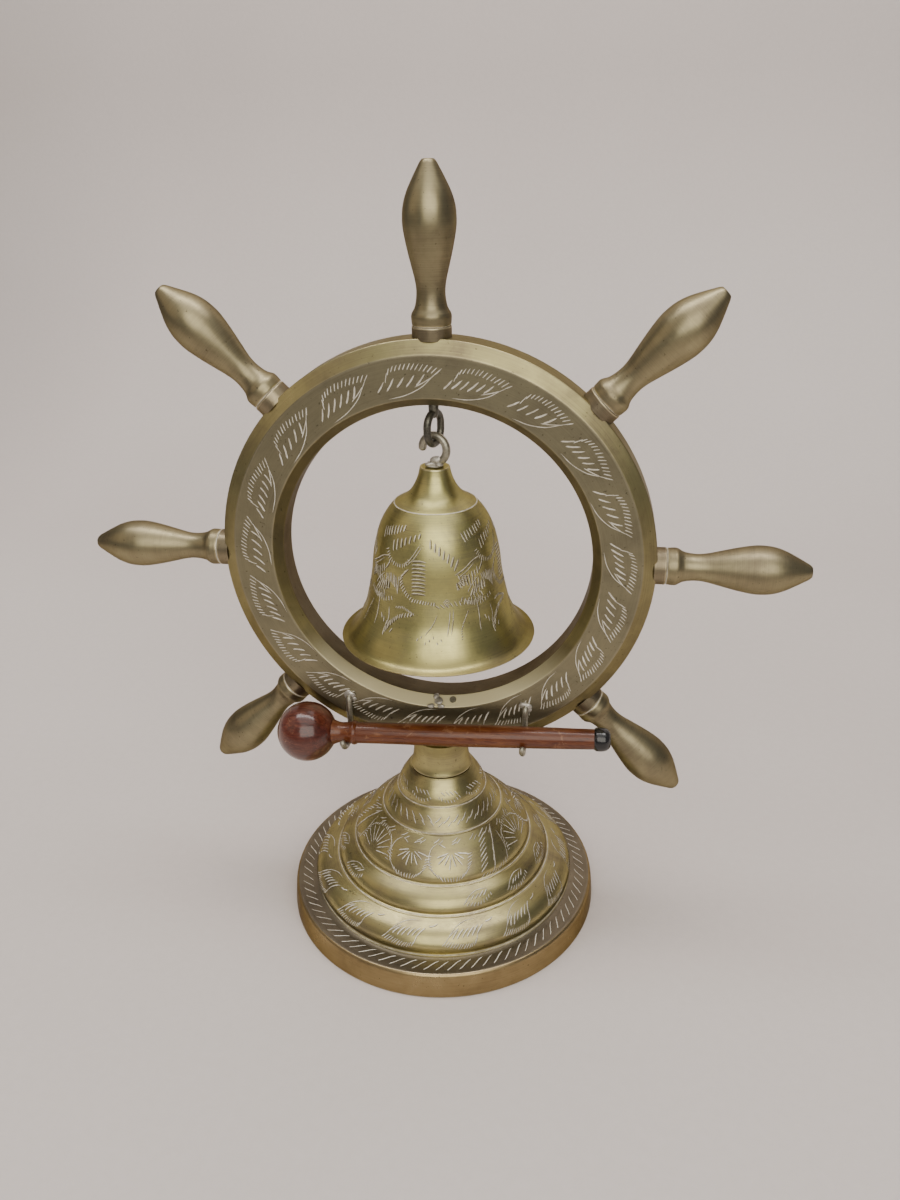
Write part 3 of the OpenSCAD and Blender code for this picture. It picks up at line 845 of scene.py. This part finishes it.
torus_1 = spline([(55.6, 11.6), (56.7, 13.9), (56.0, 17), (53.0, 20.2), (47.2, 22.7)], 8)
torus_2 = spline([(46.0, 23.2), (45.6, 25.6), (43.4, 28.6), (39.2, 31.1)], 8)
torus_3 = spline([(38.0, 31.8), (37.6, 34.4), (35.0, 38.4), (31.0, 42.8), (26.2, 46.9)], 8)
band_4 = spline([(25.0, 47.8), (23.4, 50.2), (20.6, 53.4), (19.4, 55.3)], 6)
band_5 = spline([(18.7, 56.1), (17.9, 58.9), (15.8, 62.6), (13.9, 65.4)], 6)
ledge = [(BASE_R - 1.6, 10.8), (56.4, 11.05)]
UNDER_R = BASE_R - 3.3

foot = Outline()
foot.add([(UNDER_R, 0)])
foot.corner((UNDER_R, 0), (BASE_R, 0), (BASE_R, 5), 0.4, 0.4, (2, 2))
foot.add([(BASE_R, 1.6), (BASE_R - 0.3, 5), (BASE_R - 0.66, 8.6)], 0.0, 2)
foot.corner((BASE_R - 0.7, 9.6), ledge[0], ledge[1], 0.5, 0.15, (2, 3))
foot.add([(62, 10.87), (59, 10.95)], 0.0, 3)
below = ledge
for ring, deep in ((torus_1, 0.4), (torus_2, 0.3), (torus_3, 0.3), (band_4, 0.3), (band_5, 0.3)):
    foot.groove(below[-1], ring[0], deep).add(ring[1:])
    below = ring
foot.add([(13.3, BASE_H - 0.05), (3.1, BASE_H - 0.05)])
shell = turn("pedestal", foot, UPRIGHT, [BASE_BRASS, CUT, PLINTH_BRASS, LEDGE_BRASS],
             "stand", "antique_brass", 288)

hollow = Outline()
hollow.add([(0, 62.4), (10.4, 62.4), (10.4, 56.2), (21.0, 48.6), (23.0, 43.8), (33.6, 35.4), (35.0, 28.8),
            (42.0, 26.4), (43.0, 20), (51.6, 17), (52.4, 8.2), (63.0, 7.4), (UNDER_R, 0)])
turn("pedestal_inside", hollow, UPRIGHT, [INSIDE_BRASS], "stand", "antique_brass", 192)
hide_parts("base_shell")

NECK_TOP = 80.4
neck = Outline()
neck.add([(0, BASE_H), (12.4, BASE_H)])
neck.add([(13.0, BASE_H + 0.35)], 0.8)
neck.add(spline([(12.9, BASE_H + 0.7), (12.1, 69), (11.55, 73), (11.6, 76), (12.2, NECK_TOP)], 8))
neck.add([(0, NECK_TOP)])
column = turn("neck", neck, UPRIGHT, [BASE_BRASS], "stand", "antique_brass", 128)
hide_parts("column")

# Each row of drawings has a ROW, its place along its ring's outline, and often a START, its first angle in
# degrees from the front.
base_cuts = Engraver(SEED + 1, CUT, PAINTED_SHADE_CUT, 0.62)
ledge_surface = Surface(ledge, UPRIGHT)
ROPE = 84
ROPE_ROW = 4.6
for k in range(ROPE):
    twist = Motif(base_cuts, ledge_surface, ROPE_ROW, 2 * math.pi * k / ROPE)
    short = 0.5 * (k % 2)
    twist.line([(-3.0, -2.5), (-1.6, -1.5), (0.9, 0.8), (2.8 - short, 2.0 - 0.5 * short)],
               0.52 - 0.2 * short, 4)

surface_1 = Surface(torus_1, UPRIGHT)
LEAVES_1 = 14
LEAF_ROW_1 = 9.0
LEAF_START_1 = -8.5
SPARK_ROW = 13.2
for k in range(LEAVES_1):
    at = FRONT + math.radians(LEAF_START_1 + 360 / LEAVES_1 * k)
    leaf = Motif(base_cuts, surface_1, LEAF_ROW_1, at, math.pi + base_cuts.jitter(0.06))
    feather(leaf, 16.0, LEAF_WIDE, 6, 16)
    spark = Motif(base_cuts, surface_1, SPARK_ROW, at + math.radians(180 / LEAVES_1))
    spark.dash((0, 0), 1.25, 3.6, 0.6, 0.1)

surface_2 = Surface(torus_2, UPRIGHT)
LEAF_ROW_2 = 5.4
LEAF_START_2 = 2.5
for k in range(1, LEAVES_1 - 1):  # the front is left plain
    at = FRONT + math.radians(LEAF_START_2 + 360 / LEAVES_1 * k)
    leaf = Motif(base_cuts, surface_2, LEAF_ROW_2, at, math.pi)
    leaf.fringe([(-5.5, 0.0), (-2, 2.0), (2, 2.5), (6, 1.2)], 10, 1.7, 2.2, -0.2, 0.9, 0.46)
    leaf.line([(-4.4, -2.6), (0, -2.9), (3.4, -1.4), (6.4, 1.4)], 0.4, 5)
    leaf.row(4, (-3.2, -1.2), (1.9, 0.3), (0.8, 0), (3.2, -0.2), 0.6)

surface_3 = Surface(torus_3, UPRIGHT)


def petal(motif):
    """A scalloped petal: an arc on its left, a fringe round its foot and strokes spreading inside."""
    motif.line([(-4.0, -6.6), (-6.6, -4.2), (-7.8, -0.6), (-7.2, 3.0)], 0.4, 6)
    motif.fringe([(-7.9, -0.4), (-7.0, 3.4), (-4.0, 6.0), (0.0, 6.8), (4.4, 6.0), (7.2, 3.0), (7.8, -1.6)], 24,
                 2.1, 2.1, 1.4, -1.4, 0.46)
    for m in range(8):
        lean = math.radians(-70 + 145 * m / 7)
        reach = 3.2 + 0.9 * (m % 2)
        motif.dash((0.8 + math.sin(lean) * reach * 1.1, -3.2 + math.cos(lean) * reach), lean, 4.6, 0.7)
    motif.dash((-2.6, -5.6), 1.0, 2.8, 0.5)
    motif.dash((2.2, -6.2), -1.2, 2.8, 0.5)


def fern(motif):
    """A leaf of bold strokes in two rows with a fringe at its foot and one long side line."""
    motif.line([(5.4, 5.4), (6.2, 0.6), (5.2, -5.0)], 0.36, 6)
    for m in range(8):
        motif.dash((-3.4 + 0.5 * m, 4.0 - 1.45 * m), -0.95, 3.8, 0.62)
        motif.dash((0.2 + 0.5 * m, 4.6 - 1.45 * m), -0.4, 3.6, 0.62)
    motif.fringe([(-4.4, 6.6), (0.0, 6.6), (4.6, 5.0)], 9, 2.0, 2.0, -0.6, -0.3, 0.46)


def fan(motif):
    """Straight rays spreading from a low point, ringed by short hairs."""
    for m in range(9):
        lean = math.radians(-80 + 160 * m / 8)
        motif.dash((math.sin(lean) * 4.4, 3.4 - math.cos(lean) * 5.4), -lean, 5.4, 0.6)
    motif.fringe([(-7.0, 3.0), (-5.6, -2.4), (0.0, -5.4), (5.6, -2.4), (7.0, 3.0)], 26,
                 1.4, 1.4, -1.4, 1.4, 0.42)


FLOWERS = 12
FLOWER_ROW = 9.4
FLOWER_START = 14
FLOWER_ORDER = ((petal, 1.1), (fern, 1.35), (fan, 1.3), (petal, 1.1))
for k in range(FLOWERS):
    at = FRONT + math.radians(FLOWER_START + 360 / FLOWERS * k)
    draw, size = FLOWER_ORDER[k % len(FLOWER_ORDER)]
    draw(Motif(base_cuts, surface_3, FLOWER_ROW, at, 0.0, -1, size))

BRUSHES = 24
BRUSH_ROW = 17.6
for k in range(BRUSHES):
    brush = Motif(base_cuts, surface_3, BRUSH_ROW, FRONT + 2 * math.pi * (k + 0.3) / BRUSHES)
    brush.dash((0, 0), 0.9, 3.6, 0.5, 0.06)
    brush.dash((1.6, -0.8), 0.8, 2.6, 0.44)

surface_4 = Surface(band_4, UPRIGHT)
HATCH = 38
HATCH_ROW = 4.6
HATCH_LEAN = 0.75
for k in range(HATCH):
    at = FRONT + 2 * math.pi * (k + 0.5) / HATCH
    lean = math.copysign(HATCH_LEAN, math.sin(at - FRONT))
    mark = Motif(base_cuts, surface_4, HATCH_ROW, at)
    mark.dash((0, 0.4), lean, 4.4, 0.56, 0.06)
    mark.dash((1.3, -1.4), lean, 3.0, 0.46)

surface_5 = Surface(band_5, UPRIGHT)
SPRIGS = 9
SPRIG_ROW = 4.2
SPRIG_START = -20
for k in range(SPRIGS):
    at = FRONT + math.radians(SPRIG_START + 360 / SPRIGS * k)
    sprig = Motif(base_cuts, surface_5, SPRIG_ROW, at, 0.0, -1)
    sprig.fringe([(-4.4, 0.6), (-1.6, 2.2), (1.6, 2.3), (4.2, 1.0)], 8, 1.4, 1.4, -0.2, 0.7, 0.42)
    sprig.row(4, (-2.6, -0.9), (1.8, 0), (0.7, 0), (2.6, 0), 0.5)
base_cuts.finish("pedestal_engraving", "stand", "antique_brass")

# ---- bell ----

flare = spline([(MOUTH_R, 0.5), (35.5, 1.7), (33.4, 3.8), (31.6, 6.4), (30.0, 9.6), (28.1, 14), (26.6, 20),
                (25.2, 27), (24.2, 35), (22.6, 42), (20.8, 47), (18.5, 51), (15.8, 54.3)], 6)
crown = spline([(15.3, 54.62), (12.6, 56.1), (10.4, 57.7), (8.7, 59.7), (7.3, 62.2), (6.3, 64.8),
                (5.8, 66.8)], 6)
bore = spline([(MOUTH_R - 1.4, 0), (33.4, 2.2), (30.6, 4.8), (28.6, 8.2), (26.8, 13), (25.0, 20), (23.6, 27),
               (22.4, 35), (20.6, 41.5), (18.0, 46.6), (13.6, 50.6)], 4)
wall = Outline()
wall.add([(0, 52), (5, 52)]).add(bore[::-1])
wall.add([(MOUTH_R - 0.7, -0.02)], 0.6)
wall.add([(MOUTH_R - 0.1, 0.15)], 1.0)
wall.add(flare[:1], 0.8)
wall.add(flare[1:])
wall.groove(flare[-1], crown[0], 0.15, 0.4).add(crown[1:])
wall.corner(crown[-1], (5.6, BELL_H), (0, BELL_H), 0.35)
wall.add([(0, BELL_H)])
shell = turn("bell_turned", wall, BELL, [BELL_BRASS, CUT], "bell", "bell_brass", 256)
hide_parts("bell")

bell_surface = Surface(flare, BELL)


def ladder(cut):
    """A column of short flat rungs."""
    for m in range(10):
        cut.line([(-2.8, -6.3 + 1.36 * m), (0, -6.0 + 1.36 * m), (2.8, -6.3 + 1.36 * m)], 0.85, 3)


def crest(cut):
    """Bold strokes over a hanging fringe, closed by two long lines."""
    cut.row(7, (-5.6, -1.9), (1.7, 0.8), (-0.04, 0.03), (4.4, -0.36), 0.9)
    cut.fringe([(-8.6, -4.0), (-6.8, -7.0), (-3.6, -8.6), (-0.6, -8.4), (1.4, -6.6)], 14,
               1.9, 1.7, 1.1, -0.5, 0.55)
    cut.line([(0.2, -7.8), (2.6, -5.0), (5.6, 0.4)], 0.45, 6)
    cut.line([(1.0, -8.2), (3.6, -5.2), (6.2, -0.6)], 0.4, 6)


def curl(cut):
    """A hooked fringe and a fan of growing strokes beside it."""
    cut.fringe([(1.8, 4.2), (-0.2, 1.4), (0.2, -1.8), (2.6, -5.0), (5.0, -6.6), (9.0, -7.0), (13.0, -7.6)], 22,
               2.4, 1.3, 0.9, 0.1, 0.62)
    cut.fringe([(-7.2, 0.4), (-4.4, 0.0), (-1.6, -1.8)], 8, 2.8, 7.0, -0.3, 0.02, 0.6)


def falling_row(cut):
    cut.row(7, (-4.8, 4.0), (1.5, -1.35), (0.02, 0.055), (3.4, 0.2), 0.9)


def high_row(cut):
    cut.row(8, (-4.6, -1.6), (1.35, 0.5), (-0.22, 0.02), (4.0, -0.16), 0.85)


def spray(cut):
    """A big ragged leaf: long veins, two rows of strokes and a fringed foot."""
    cut.line([(-7.4, 1.8), (-3.6, 3.6), (0.6, 6.2), (4.4, 7.2)], 0.7, 6)
    cut.line([(-6.4, 0.6), (-2.4, 2.8), (1.4, 5.6)], 0.5, 6)
    cut.line([(2.8, 1.8), (4.4, 4.2), (5.0, 6.6)], 0.8, 4)
    cut.line([(-2.8, -5.4), (-0.6, -2.6), (2.6, 0.2)], 0.6, 5)
    cut.row(8, (-6.6, -2.4), (1.25, 0.66), (-0.14, 0), (2.9, 0), 0.75)
    cut.row(6, (-1.0, -5.6), (1.25, 0.4), (0.5, -0.11), (3.9, 0), 0.8)
    cut.fringe([(-3.4, -9.0), (0.0, -9.2), (3.4, -8.6)], 12, 2.0, 2.0, -0.2, 0.1, 0.5)


def rays(cut):
    for m in range(7):
        lean = math.radians(95 + 11 * m)
        cut.dash((4.2 * math.sin(lean), 3.4 + 4.2 * math.cos(lean)), lean, 3.2, 0.5)


def bud(cut):
    """Two small diamonds, one in the other."""
    for reach in (0.6, 1.3):
        cut.line([(-reach, 0), (0, reach), (reach, 0)], 0.34, 4)
        cut.line([(-reach, 0), (0, -reach), (reach, 0)], 0.34, 4)


def plume(cut):
    cut.fringe([(-7.4, -5.6), (-4.4, -1.6), (-0.6, 1.4), (3.8, 2.6)], 13, 3.4, 1.4, 0.06, 0.3, 0.75)
    cut.fringe([(-2.6, 4.4), (0.6, 4.8), (4.6, 3.0)], 12, 1.2, 1.0, 0.5, -0.4, 0.5)


def grass(cut):
    """Long hanging stalks with a fringe and small blades between them."""
    cut.line([(-7.6, 6.4), (-8.4, 2.0), (-10.0, -3.6)], 0.45, 6)
    cut.line([(-6.4, 6.6), (-7.0, 2.0), (-8.4, -3.0)], 0.4, 6)
    cut.line([(3.4, 8.4), (3.8, 3.0), (3.6, -3.6)], 0.6, 6)
    cut.fringe([(-0.8, 4.8), (-2.6, 1.6), (-4.2, -1.6), (-4.6, -5.0)], 12, 1.0, 0.8, 0.5, 0.9, 0.5)
    cut.row(5, (6.6, 1.0), (1.6, -1.1), (-0.4, 0.2), (2.2, 0), 0.6)
    for m in range(6):
        cut.dash((-1.6 + 1.5 * m, 8.6 + 0.3 * m), 0.5 - 0.2 * m, 2.4, 0.6)
        cut.dash((-12.0 + 1.7 * m, 7.6 + 0.2 * m), -0.9 + 0.12 * m, 2.2, 0.5)
    cut.line([(-12.4, 5.0), (-14.6, 1.0), (-18.4, -3.2)], 0.4, 6)
    cut.line([(9.6, 5.4), (10.4, 1.4), (10.0, -2.4)], 0.5, 6)


def wing(cut):
    """A row of long strokes over a short fringe."""
    cut.row(9, (-5.4, 1.4), (1.3, -0.5), (-0.3, 0.05), (5.2, -0.2), 0.7)
    cut.fringe([(-5.4, -6.6), (-1.6, -8.4), (3.2, -8.8), (7.4, -7.4)], 11, 2.4, 1.8, 0.4, -0.4, 0.6)


def crumbs(cut):
    for m in range(7):
        cut.dash((-4.0 + 1.5 * m, 1.2 * math.sin(2.1 * m)), 0.5 - 0.15 * m, 1.1, 0.5)


# each drawing of a cluster, its height above the lip and its angle from the cluster's middle in degrees
BELL_DRAWINGS = (
    (ladder, 33, -6.5), (crest, 45, -20), (curl, 31, -22), (falling_row, 41.5, 17), (high_row, 48, 50),
    (spray, 32, 42), (rays, 30, 24), (bud, 23.8, 17), (plume, 16.5, -20), (grass, 15, 36), (wing, 31, -48),
    (crumbs, 10.5, 2),
)
CLUSTERS = 4
bell_cuts = Engraver(SEED + 2, BRIGHT_CUT, PAINTED_SHADE_CUT, 0.5)
for k in range(CLUSTERS):
    middle = FRONT + 2 * math.pi * k / CLUSTERS
    for draw, height, degrees in BELL_DRAWINGS:
        along_flare = float(np.interp(height, bell_surface.points[:, 1], bell_surface.length))
        draw(Motif(bell_cuts, bell_surface, along_flare, middle + math.radians(degrees)))
bell_cuts.finish("bell_engraving", "bell", "bell_brass")

# ---- wires, solder and pin ----


def arc(centre, radius, start, sweep, turn, steps=28):
    """Points on an arc in an upright plane turned about Z; angles in degrees from local +X towards +Z."""
    a = np.radians(start + np.linspace(0, sweep, steps))
    flat = np.column_stack([radius * np.cos(a), np.zeros(steps), radius * np.sin(a)])
    c, s = math.cos(math.radians(turn)), math.sin(math.radians(turn))
    return np.asarray(centre, float) + flat @ np.array([[c, s, 0], [-s, c, 0], [0, 0, 1]])


LUMPY = 0.02  # how uneven a wire is, as a share of its radius

low = EYE_BOTTOM_Z + EYE_LOOP_R
eye_top = low + EYE_STRAIGHT + EYE_LOOP_R
loop_path = np.vstack([
    arc((0, 0, low + EYE_STRAIGHT), EYE_LOOP_R, 90, 85, EYE_TURN),
    arc((0, 0, low), EYE_LOOP_R, 185, 170, EYE_TURN),
    arc((0, 0, low + EYE_STRAIGHT), EYE_LOOP_R, 5, 85, EYE_TURN),
])
inner_top = WHEEL_Z + RIM_INNER_R
stub = [(0, 0, eye_top - 0.6), (0, 0, eye_top + 1.0), (0, 0, inner_top - 0.3), (0, 0, inner_top + 1.0)]
eye_verts, eye_faces = joined([
    tube(loop_path, EYE_WIRE_R, LUMPY, 3),
    tube(stub, [EYE_SHANK_R * 0.94, EYE_SHANK_R, EYE_SHANK_R, EYE_SHANK_R * 0.8], 0.0, 4),
])
eye = make_piece("screw_eye_wire", eye_verts, eye_faces, [DARK_WIRE], "stand", "dark_wire", sharp=60)
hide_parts("screw_eye")

# the hook's big turn runs on, without a corner, into the foot curve that ends upright on the bell's axis
hook_centre_z = PIVOT_Z - HOOK_R
sweep, way = math.radians(HOOK_SWEEP), math.radians(HOOK_TURN)
foot_curve = HOOK_R * math.cos(sweep) / (1 - math.cos(sweep))
foot_z = hook_centre_z - (HOOK_R + foot_curve) * math.sin(sweep)
foot_centre = (foot_curve * math.cos(way), foot_curve * math.sin(way), foot_z)
hook_path = np.vstack([
    arc((0, 0, hook_centre_z), HOOK_R, 180, HOOK_TIP - 180 - HOOK_SWEEP, HOOK_TURN, 48),
    arc(foot_centre, foot_curve, 180 - FOOT_TURN, FOOT_TURN, HOOK_TURN, 10),
    [(0, 0, foot_z - 1.5), (0, 0, foot_z - 10), (0, 0, HOOK_END_Z)],
])
hook_wire = tube(hook_path, HOOK_WIRE_R * HOOK_SWELL, LUMPY, 5)
hook = make_piece("bell_hook_wire", *hook_wire, [WIRE], "bell", "wire", sharp=60)
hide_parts("bell_hook")

bead = [
    lump((0, 0, CROWN_Z + 0.4), (3.6, 3.5, 0.85), 11, 0.16),
    lump((-1.5, -1.5, CROWN_Z + 1.0), (2.0, 1.6, 1.1), 12, 0.22),
    lump((1.6, -1.1, CROWN_Z + 1.2), (2.0, 1.8, 1.3), 13, 0.22),
    lump((0.9, -1.3, CROWN_Z + 2.6), (2.1, 1.2, 1.5), 14, 0.24),
]
crown_bead = make_piece("crown_solder_lumps", *joined(bead), [SOLDER], "bell", "solder")
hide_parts("crown_solder")


def cradle(x, wood_r, seed):
    """The J-shaped wire that carries the mallet at x."""
    centre_z = mallet_height(x) + CRADLE_R - CRADLE_WIRE_R - wood_r - LOOSE_GAP
    shank_y = FACE_Y - ROOT_BEND_R
    bend_z = CRADLE_ROOT_Z - ROOT_BEND_R
    bend = [(x, FACE_Y - ROOT_BEND_R * math.sin(a), bend_z + ROOT_BEND_R * math.cos(a))
            for a in np.linspace(0, math.pi / 2, 8)]
    curve = [(x, MALLET_Y + CRADLE_R * math.cos(a), centre_z - CRADLE_R * math.sin(a))
              for a in np.radians(np.linspace(0, 90 + CRADLE_TIP, 34))]
    shank = [(x, shank_y, z) for z in np.linspace(bend_z - 1, centre_z + 1, 6)]
    path = [(x, FACE_Y + ROOT_DEEP, CRADLE_ROOT_Z), (x, FACE_Y + 1.0, CRADLE_ROOT_Z)] + bend + shank + curve
    return tube(path, CRADLE_WIRE_R, LUMPY, seed)


for label, x, wood_r, seed in (("left", -CRADLE_X, NECK_WOOD_R, 21), ("right", CRADLE_X, SHAFT_R, 22)):
    wire = make_piece(f"mallet_wire_{label}", *cradle(x, wood_r, seed), [WIRE], "stand", "wire", sharp=60)
    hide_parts(f"mallet_hook_{label}")

roots = []
for x, seed in ((-CRADLE_X, 31), (CRADLE_X, 41)):
    roots.append(lump((x, FACE_Y - 0.2, CRADLE_ROOT_Z + 0.3), (2.3, 1.1, 2.2), seed, 0.2))
    roots.append(lump((x + 1.5, FACE_Y - 0.1, CRADLE_ROOT_Z - 1.3), (1.3, 0.7, 1.2), seed + 1, 0.25))
root_solder = make_piece("hook_solder_lumps", *joined(roots), [SOLDER], "stand", "solder")
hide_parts("hook_solder")


def on_chamfer(angle, across):
    """A point on the inner front chamfer and its outward direction; angle in degrees from the bottom."""
    a = math.radians(angle)
    r = RIM_INNER_R + CHAMFER_IN[0] * across
    y = -RIM_HALF + CHAMFER_IN[1] * (1 - across)
    out = np.array([-CHAMFER_IN[1] * math.sin(a), -CHAMFER_IN[0], CHAMFER_IN[1] * math.cos(a)])
    out /= np.linalg.norm(out)
    point = np.array([r * math.sin(a), y, WHEEL_Z - r * math.cos(a)])
    along = np.array([math.cos(a), 0, math.sin(a)])
    return point, np.array([along, np.cross(out, along), out])


scars = []
for angle, across, size, seed in ((-0.4, 0.2, (1.3, 1.5, 1.1), 51), (0.6, 0.55, (1.8, 1.6, 0.9), 52),
                                  (-2.2, 0.95, (1.5, 1.1, 0.8), 53), (1.6, 0.9, (1.4, 1.0, 0.6), 54)):
    point, axes = on_chamfer(angle, across)
    scars.append(lump(point + axes[2] * size[2] * 0.35, size, seed, 0.22, axes))
scar = make_piece("solder_scar_lumps", *joined(scars), [SOLDER], "stand", "solder")
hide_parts("solder_scar")

# ---- mallet ----

stick = mallet_frame()
seat = math.sqrt(BALL_R ** 2 - NECK_WOOD_R ** 2) - 0.3
cap_start = MALLET_LEN - CAP_LEN

ball = Outline()
for t in np.linspace(0, math.acos(-seat / BALL_R), 48):
    ball.add([(BALL_R * math.sin(t), -BALL_R * math.cos(t))])
ball.add([(0, seat)])
head = turn("mallet_ball", ball, stick, [BALL_WOOD], "mallet", "ball_wood", 96)
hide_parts("mallet_head")

shaft = Outline()
shaft.add([(0, seat)])
shaft.add(spline([(5.1, seat), (NECK_WOOD_R + 0.1, seat + 2.6), (NECK_WOOD_R, seat + 4.8),
                  (4.5, BEAD_X - 1.2)], 6))
shaft.add(spline([(4.75, BEAD_X - 0.9), (4.95, BEAD_X), (4.6, BEAD_X + 1)], 5))
shaft.add(spline([(4.3, BEAD_X + 1.3), (4.3, 38), (SHAFT_R, 62), (4.35, 88), (SHAFT_END_R, cap_start)], 10))
shaft.add([(0, cap_start)])
shaft_piece = turn("mallet_stick", shaft, stick, [SHAFT_WOOD], "mallet", "shaft_wood", 64)
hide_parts("mallet_shaft")

cap = Outline()
cap.add([(0, 0)])
cap.add(spline([(CAP_R - 0.5, 0), (CAP_R, 0.9), (CAP_R, 3.2), (CAP_R - 0.6, 5.0), (CAP_R - 2.0, 6.1),
                (1.2, CAP_LEN)], 6))
cap.add([(0, CAP_LEN)])
cap_piece = turn("mallet_end_cap", cap, mallet_frame(cap_start), [BLACK], "mallet", "black_gloss", 64)
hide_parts("mallet_cap")

# ---- CAD nodes that stay, with better materials ----

for node, material in (("column_bolt", STEEL), ("column_washer", STEEL), ("handle_studs", STEEL),
                       ("crown_washer", STEEL), ("crown_nut", STEEL), ("locking_pin", WIRE)):
    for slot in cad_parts[node].material_slots:
        slot.material = material

# ---- floor, lights and camera ----


def backdrop_material():
    """Matt off-white cloth, slightly mauve, with faint creases. Painted shade darkens it to the sides and
    towards the front, as the room darkens round the object."""
    n = Nodes("backdrop")
    soft = n.noise(1.6, 3, 0.5)
    fine = n.noise(240, 4, 0.6)
    tone = n.total(soft, 0.8, fine, 0.2)
    colour = n.ramp(tone, [(0.35, (0.60, 0.545, 0.515)), (0.65, (0.67, 0.615, 0.585))])
    # painted shade: darker beyond 0.45 m to either side and in front of -0.2 m
    painted_side_shade = n.spread(n.maths("ABSOLUTE", n.place_on("X")), 0.45, 1.2, 0.0, 0.5)
    painted_front_shade = n.spread(n.place_on("Y"), -0.5, -0.2, 0.6, 0.0)
    colour = n.mixed(n.maths("MAXIMUM", painted_side_shade, painted_front_shade), colour, (0.17, 0.165, 0.16))
    n.bump(fine, 0.25, 0.0006)
    return n.done(Base_Color=colour, Roughness=0.85, Specular_IOR_Level=0.2)


def make_backdrop():
    """A floor that curves up into a wall behind the object."""
    wide, front, bend_y, bend_r, top = 2200, -1600, 420, 380, 1900
    line = [(front, 0), (-600, 0), (0, 0), (bend_y, 0)]
    line += [(bend_y + bend_r * math.sin(a), bend_r - bend_r * math.cos(a))
             for a in np.linspace(0.1, math.pi / 2, 14)]
    line += [(bend_y + bend_r, top)]
    verts, faces = [], []
    for y, z in line:
        verts += [(-wide, y, z), (wide, y, z)]
    for i in range(len(line) - 1):
        faces.append((2 * i, 2 * i + 1, 2 * i + 3, 2 * i + 2))
    mesh = make_mesh("backdrop", verts, faces, [backdrop_material()])
    mesh.shade_smooth()
    obj = put("backdrop", mesh)


make_backdrop()


def softbox(name, place, target, width, height, power, colour):
    """A flat lamp of width and height in metres at place, aimed at target, with its power in watts."""
    light = bpy.data.lights.new(name, "AREA")
    light.shape = "RECTANGLE"
    light.size = width
    light.size_y = height
    light.energy = power
    light.color = colour
    obj = put(name, light)
    obj.location = place
    obj.rotation_mode = "QUATERNION"
    obj.rotation_quaternion = (Vector(target) - Vector(place)).to_track_quat("-Z", "Y")


CENTRE = (0, 0, 0.15)
softbox("overhead", (0.1, -0.15, 1.5), CENTRE, 1.7, 1.5, 8.5, (1.0, 0.96, 0.90))
softbox("front", (0.30, -1.25, 0.85), CENTRE, 1.5, 1.1, 15.5, (1.0, 0.955, 0.86))
softbox("warm", (-1.1, -0.5, 0.8), CENTRE, 1.1, 0.9, 1.6, (1.0, 0.80, 0.58))
softbox("wall", (-0.15, 0.1, 1.7), (-0.15, 0.8, 0.4), 1.8, 0.5, 18, (1.0, 0.96, 0.955))


def room_light():
    """Even light from the room: brighter above than at the sides."""
    world = bpy.data.worlds.new("room")
    bpy.context.scene.world = world
    world.use_nodes = True
    tree = world.node_tree
    back = tree.nodes["Background"]
    where = tree.nodes.new("ShaderNodeTexCoord")
    split = tree.nodes.new("ShaderNodeSeparateXYZ")
    ramp = tree.nodes.new("ShaderNodeValToRGB")
    set_stops(ramp.color_ramp, [(0.0, (0.24, 0.24, 0.26)), (0.5, (0.19, 0.195, 0.22)), (0.9, (0.5, 0.5, 0.5))])
    tree.links.new(where.outputs["Generated"], split.inputs[0])
    tree.links.new(split.outputs["Z"], ramp.inputs["Fac"])
    tree.links.new(ramp.outputs["Color"], back.inputs["Color"])
    back.inputs["Strength"].default_value = 0.62


room_light()


def make_camera():
    """A camera a little right of the middle and above the wheel's top, looking slightly down."""
    place = Vector((0.05656, -0.33007, 0.30049))
    yaw, pitch, roll = 0.1554, -0.442, -0.0163
    heading = Matrix.Rotation(yaw, 4, "Z") @ Matrix.Rotation(math.pi / 2 + pitch, 4, "X")
    data = bpy.data.cameras.new("camera")
    data.sensor_fit = "HORIZONTAL"
    data.sensor_width = 36.0
    data.lens = 37.59
    data.clip_start = 0.01
    obj = put("camera", data)
    obj.matrix_world = Matrix.Translation(place) @ heading @ Matrix.Rotation(roll, 4, "Z")
    bpy.context.scene.camera = obj


make_camera()
